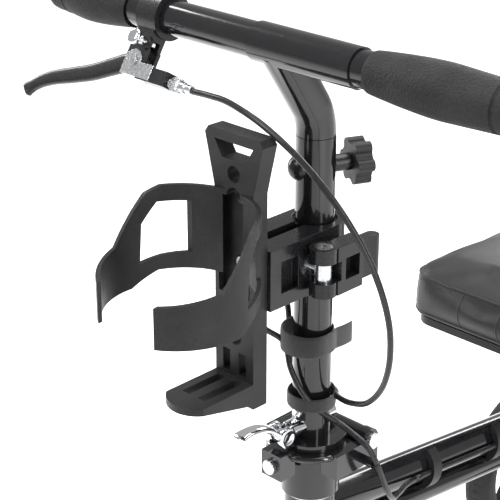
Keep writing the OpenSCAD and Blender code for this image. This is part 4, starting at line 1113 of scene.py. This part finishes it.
@dataclass
class KneePad(Assembly):
    """Vinyl knee pad: a foam block swollen by cloth simulation inside its cover, with an edge
    seam, a line of stitching below it, seams at the front corners and a rolled lower lip."""

    corner: float = 26 * MM
    cap: float = 5 * MM
    voxel: float = 5.5 * MM
    held_height: float = 9 * MM
    pressure: float = 4.0
    frames: int = 18
    stitch_height: float = 38.5 * MM
    stitch_step: float = 3.4 * MM

    def build(self) -> int:
        """Makes the cushion, then the seams and the stitches that lie on it."""
        low, high = (np.array(c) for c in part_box("knee_pad"))
        pad = self.block(low, high)
        self.swell(pad)
        smoother = pad.modifiers.new("smooth", "SUBSURF")
        smoother.levels = smoother.render_levels = 1
        self.wardrobe.dress(pad, "black_vinyl")
        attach(pad, "seat")
        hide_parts("knee_pad")
        self.count += 1
        self.seams(pad, low, high)
        return self.count

    def outline(self, low: Array, high: Array, inset: float, corner: float, steps: int = 14) -> Array:
        """A rectangle with round corners, walked once at even steps along each side and arc.

        Args:
            low: The pad's lowest corner.
            high: The pad's highest corner.
            inset: Distance inside the pad's box.
            corner: Corner radius.
            steps: Points in each corner and each quarter of a side.

        Returns:
            Points as N by 2.
        """
        x0, y0, x1, y1 = low[0] + inset, low[1] + inset, high[0] - inset, high[1] - inset
        c = corner
        arcs = []
        corners = ((x1 - c, y1 - c, 0), (x0 + c, y1 - c, 90), (x0 + c, y0 + c, 180), (x1 - c, y0 + c, 270))
        for cx, cy, start in corners:
            a = np.radians(start + np.linspace(0, 90, steps))
            arcs.append(np.stack([cx + c * np.cos(a), cy + c * np.sin(a)], axis=-1))
        sides = []
        for k in range(4):
            a, b = arcs[k][-1], arcs[(k + 1) % 4][0]
            t = np.linspace(0, 1, steps * (3 if k % 2 else 2) + 2)[1:-1, None]
            sides.append(arcs[k])
            sides.append(a + (b - a) * t)
        return np.vstack(sides)

    def block(self, low: Array, high: Array) -> MeshObject:
        """The cushion before it swells: rings of the rounded outline, drawn in at the seam
        near the top and at the lower edge, then rings that close over a crowned top and a flat base."""
        tall = high[2] - low[2]
        profile = [
            (70.0, 0.6), (40.0, 0.3), (14.0, 0.0), (6.0, 0.0), (3.4, 2.2), (3.0, 7.0), (2.4, 13.0), (1.8, 22.0),
            (1.8, 32.0), (2.2, 39.0), (3.4, 44.0), (5.6, 46.8), (9.0, 49.0), (16.0, 51.4), (26.0, 53.2), (38.0, 54.6),
            (52.0, 55.4), (66.0, 55.8), (80.0, 56.0),
        ]
        rings = []
        for inset, z in profile:
            c = max(self.corner - inset * MM * 0.8, 6 * MM)
            ring = self.outline(low, high, inset * MM, c)
            rings.append(np.column_stack([ring, np.full(len(ring), low[2] + z * MM * tall / (56 * MM))]))
        return skin("knee_pad_made", np.stack(rings))

    def swell(self, pad: MeshObject) -> None:
        """Blows the cover up a little with Blender's cloth, capping how far a point may move,
        and keeps the lower edge where it rests on its board."""
        remesh = pad.modifiers.new("remesh", "REMESH")
        remesh.mode = "VOXEL"
        remesh.voxel_size = self.voxel
        remesh.use_smooth_shade = True
        self.apply(pad)
        data = pad.data
        count = len(data.vertices)
        before = np.empty(count * 3)
        data.vertices.foreach_get("co", before)
        before = before.reshape(-1, 3)
        base = before[:, 2].min()
        group = pad.vertex_groups.new(name="held")
        held = np.nonzero(before[:, 2] < base + self.held_height)[0]
        group.add(held.tolist(), 1.0, "REPLACE")
        cloth = pad.modifiers.new("cloth", "CLOTH")
        cloth.settings.vertex_group_mass = "held"
        cloth.settings.use_pressure = True
        cloth.settings.uniform_pressure_force = self.pressure
        cloth.settings.effector_weights.gravity = 0.0
        cloth.settings.quality = 5
        scene = bpy.context.scene
        for number in range(1, self.frames + 1):
            scene.frame_set(number)
        self.apply(pad)
        after = np.empty(count * 3)
        pad.data.vertices.foreach_get("co", after)
        move = after.reshape(-1, 3) - before
        far = np.linalg.norm(move, axis=1, keepdims=True)
        move *= np.minimum(1.0, self.cap / np.maximum(far, 1e-9))
        pad.data.vertices.foreach_set("co", (before + move).ravel())
        pad.data.update()
        scene.frame_set(1)

    def apply(self, pad: MeshObject) -> None:
        """Applies every modifier of the pad to its mesh."""
        graph = bpy.context.evaluated_depsgraph_get()
        data = bpy.data.meshes.new_from_object(pad.evaluated_get(graph))
        pad.modifiers.clear()
        pad.data = data

    def seams(self, pad: MeshObject, low: Array, high: Array) -> None:
        """The seams, laid on the cover: a welt round the top edge, a stitched line below it, a
        rolled lower lip, and two short seams at the front that bound its middle panel."""
        cover = BVHTree.FromObject(pad, bpy.context.evaluated_depsgraph_get())
        ring = self.outline(low, high, 0.0, self.corner, 30)
        for name, height, radius, proud in (("pad_edge_welt", 45.6, 1.2, 0.2), ("pad_lower_lip", 3.4, 2.3, -0.9)):
            level = np.column_stack([ring, np.full(len(ring), low[2] + height * MM)])
            path = self.lay_on(cover, level, proud * MM)
            self.mount(self.closed_tube(name, path, radius * MM), "black_vinyl", "seat")
        for name, x in (("pad_front_seam_left", 22.0), ("pad_front_seam_right", -22.0)):
            height = np.linspace(4.5, 44.5, 24) * MM + low[2]
            line = np.column_stack([np.full(24, x * MM), np.full(24, low[1]), height])
            path = self.lay_on(cover, line, 0.05 * MM)
            self.mount(tube_along(name, path, 0.9 * MM, 10, 0.6), "black_vinyl", "seat")
        self.stitches(cover, low, high)

    def lay_on(self, cover: BVHTree, points: Array, proud: float) -> Array:
        """Moves points to the nearest place on the cover, standing proud of it by a distance."""
        places = []
        for point in points:
            place, normal, _, _ = cover.find_nearest(Vector(point))
            places.append(place + normal * proud)
        return np.array(places)

    def closed_tube(self, name: str, path: Array, radius: float) -> MeshObject:
        """A tube round a level closed path: its rings lie across the path."""
        after, before = np.roll(path, -1, axis=0), np.roll(path, 1, axis=0)
        tangent = after - before
        tangent /= np.linalg.norm(tangent, axis=1, keepdims=True)
        up = np.broadcast_to(np.array([0.0, 0.0, 1.0]), tangent.shape)
        side = np.cross(tangent, up)
        angle = np.linspace(0, 2 * math.pi, 12, endpoint=False)
        grid = path[:, None, :] + radius * (
            np.cos(angle)[None, :, None] * side[:, None, :] + np.sin(angle)[None, :, None] * up[:, None, :]
        )
        return skin(name, grid, wrap_rows=True, caps=False)

    def stitches(self, cover: BVHTree, low: Array, high: Array) -> None:
        """A row of short raised stitches round the boxing, 3.4 mm apart, each a small lozenge."""
        level = self.outline(low, high, 0.0, self.corner, 40)
        height = low[2] + self.stitch_height
        ring = self.lay_on(cover, np.column_stack([level, np.full(len(level), height)]), 0.15 * MM)[:, :2]
        loop = np.vstack([ring, ring[:1]])
        run = np.concatenate([[0], np.cumsum(np.linalg.norm(np.diff(loop, axis=0), axis=1))])
        at = np.arange(0, run[-1], self.stitch_step)
        ends = np.stack([at - 1.1 * MM, at + 1.1 * MM], axis=1) % run[-1]
        a = np.stack([np.interp(ends[:, 0], run, loop[:, k]) for k in (0, 1)], axis=1)
        b = np.stack([np.interp(ends[:, 1], run, loop[:, k]) for k in (0, 1)], axis=1)
        along = b - a
        length = np.linalg.norm(along, axis=1, keepdims=True)
        along /= length
        out = np.stack([along[:, 1], -along[:, 0]], axis=1)
        middle = (a + b) / 2
        corners = []
        for s, o, u in ((-1, 0, 0), (0, 0, -0.35), (1, 0, 0), (0, 0, 0.35), (0, 0.45, 0), (0, -0.5, 0)):
            flat = middle + along * (s * length / 2) + out * (o * MM)
            corners.append(np.column_stack([flat, np.full(len(flat), height + u * MM)]))
        points = np.stack(corners, axis=1)
        base = np.arange(len(points))[:, None, None] * 6
        shape = np.array([[0, 1, 4], [1, 2, 4], [2, 3, 4], [3, 0, 4], [1, 0, 5], [2, 1, 5], [3, 2, 5], [0, 3, 5]])
        piece = mesh_piece("pad_stitches", points, (base + shape[None]).reshape(-1, 3).tolist(), smooth=False)
        face_outwards(piece)
        self.mount(piece, "black_thread", "seat")


ASSEMBLIES: tuple[type[Assembly], ...] = (
    Chassis, Wheels, Column, Grips, BrakeControls, FoldLever, BrakeCable, Straps, KneePad,
)


# ---------------------------------------------------------------- making it all


def main() -> None:
    """Builds every piece in order and reports it."""
    logging.basicConfig(level=logging.INFO, format="%(message)s")
    wardrobe = Wardrobe()
    Studio(wardrobe, column_place()).build()
    for assembly in ASSEMBLIES:
        built = assembly(wardrobe).build()
        LOG.info("%s: %d pieces", assembly.__name__, built)


if __name__ == "__main__":
    main()
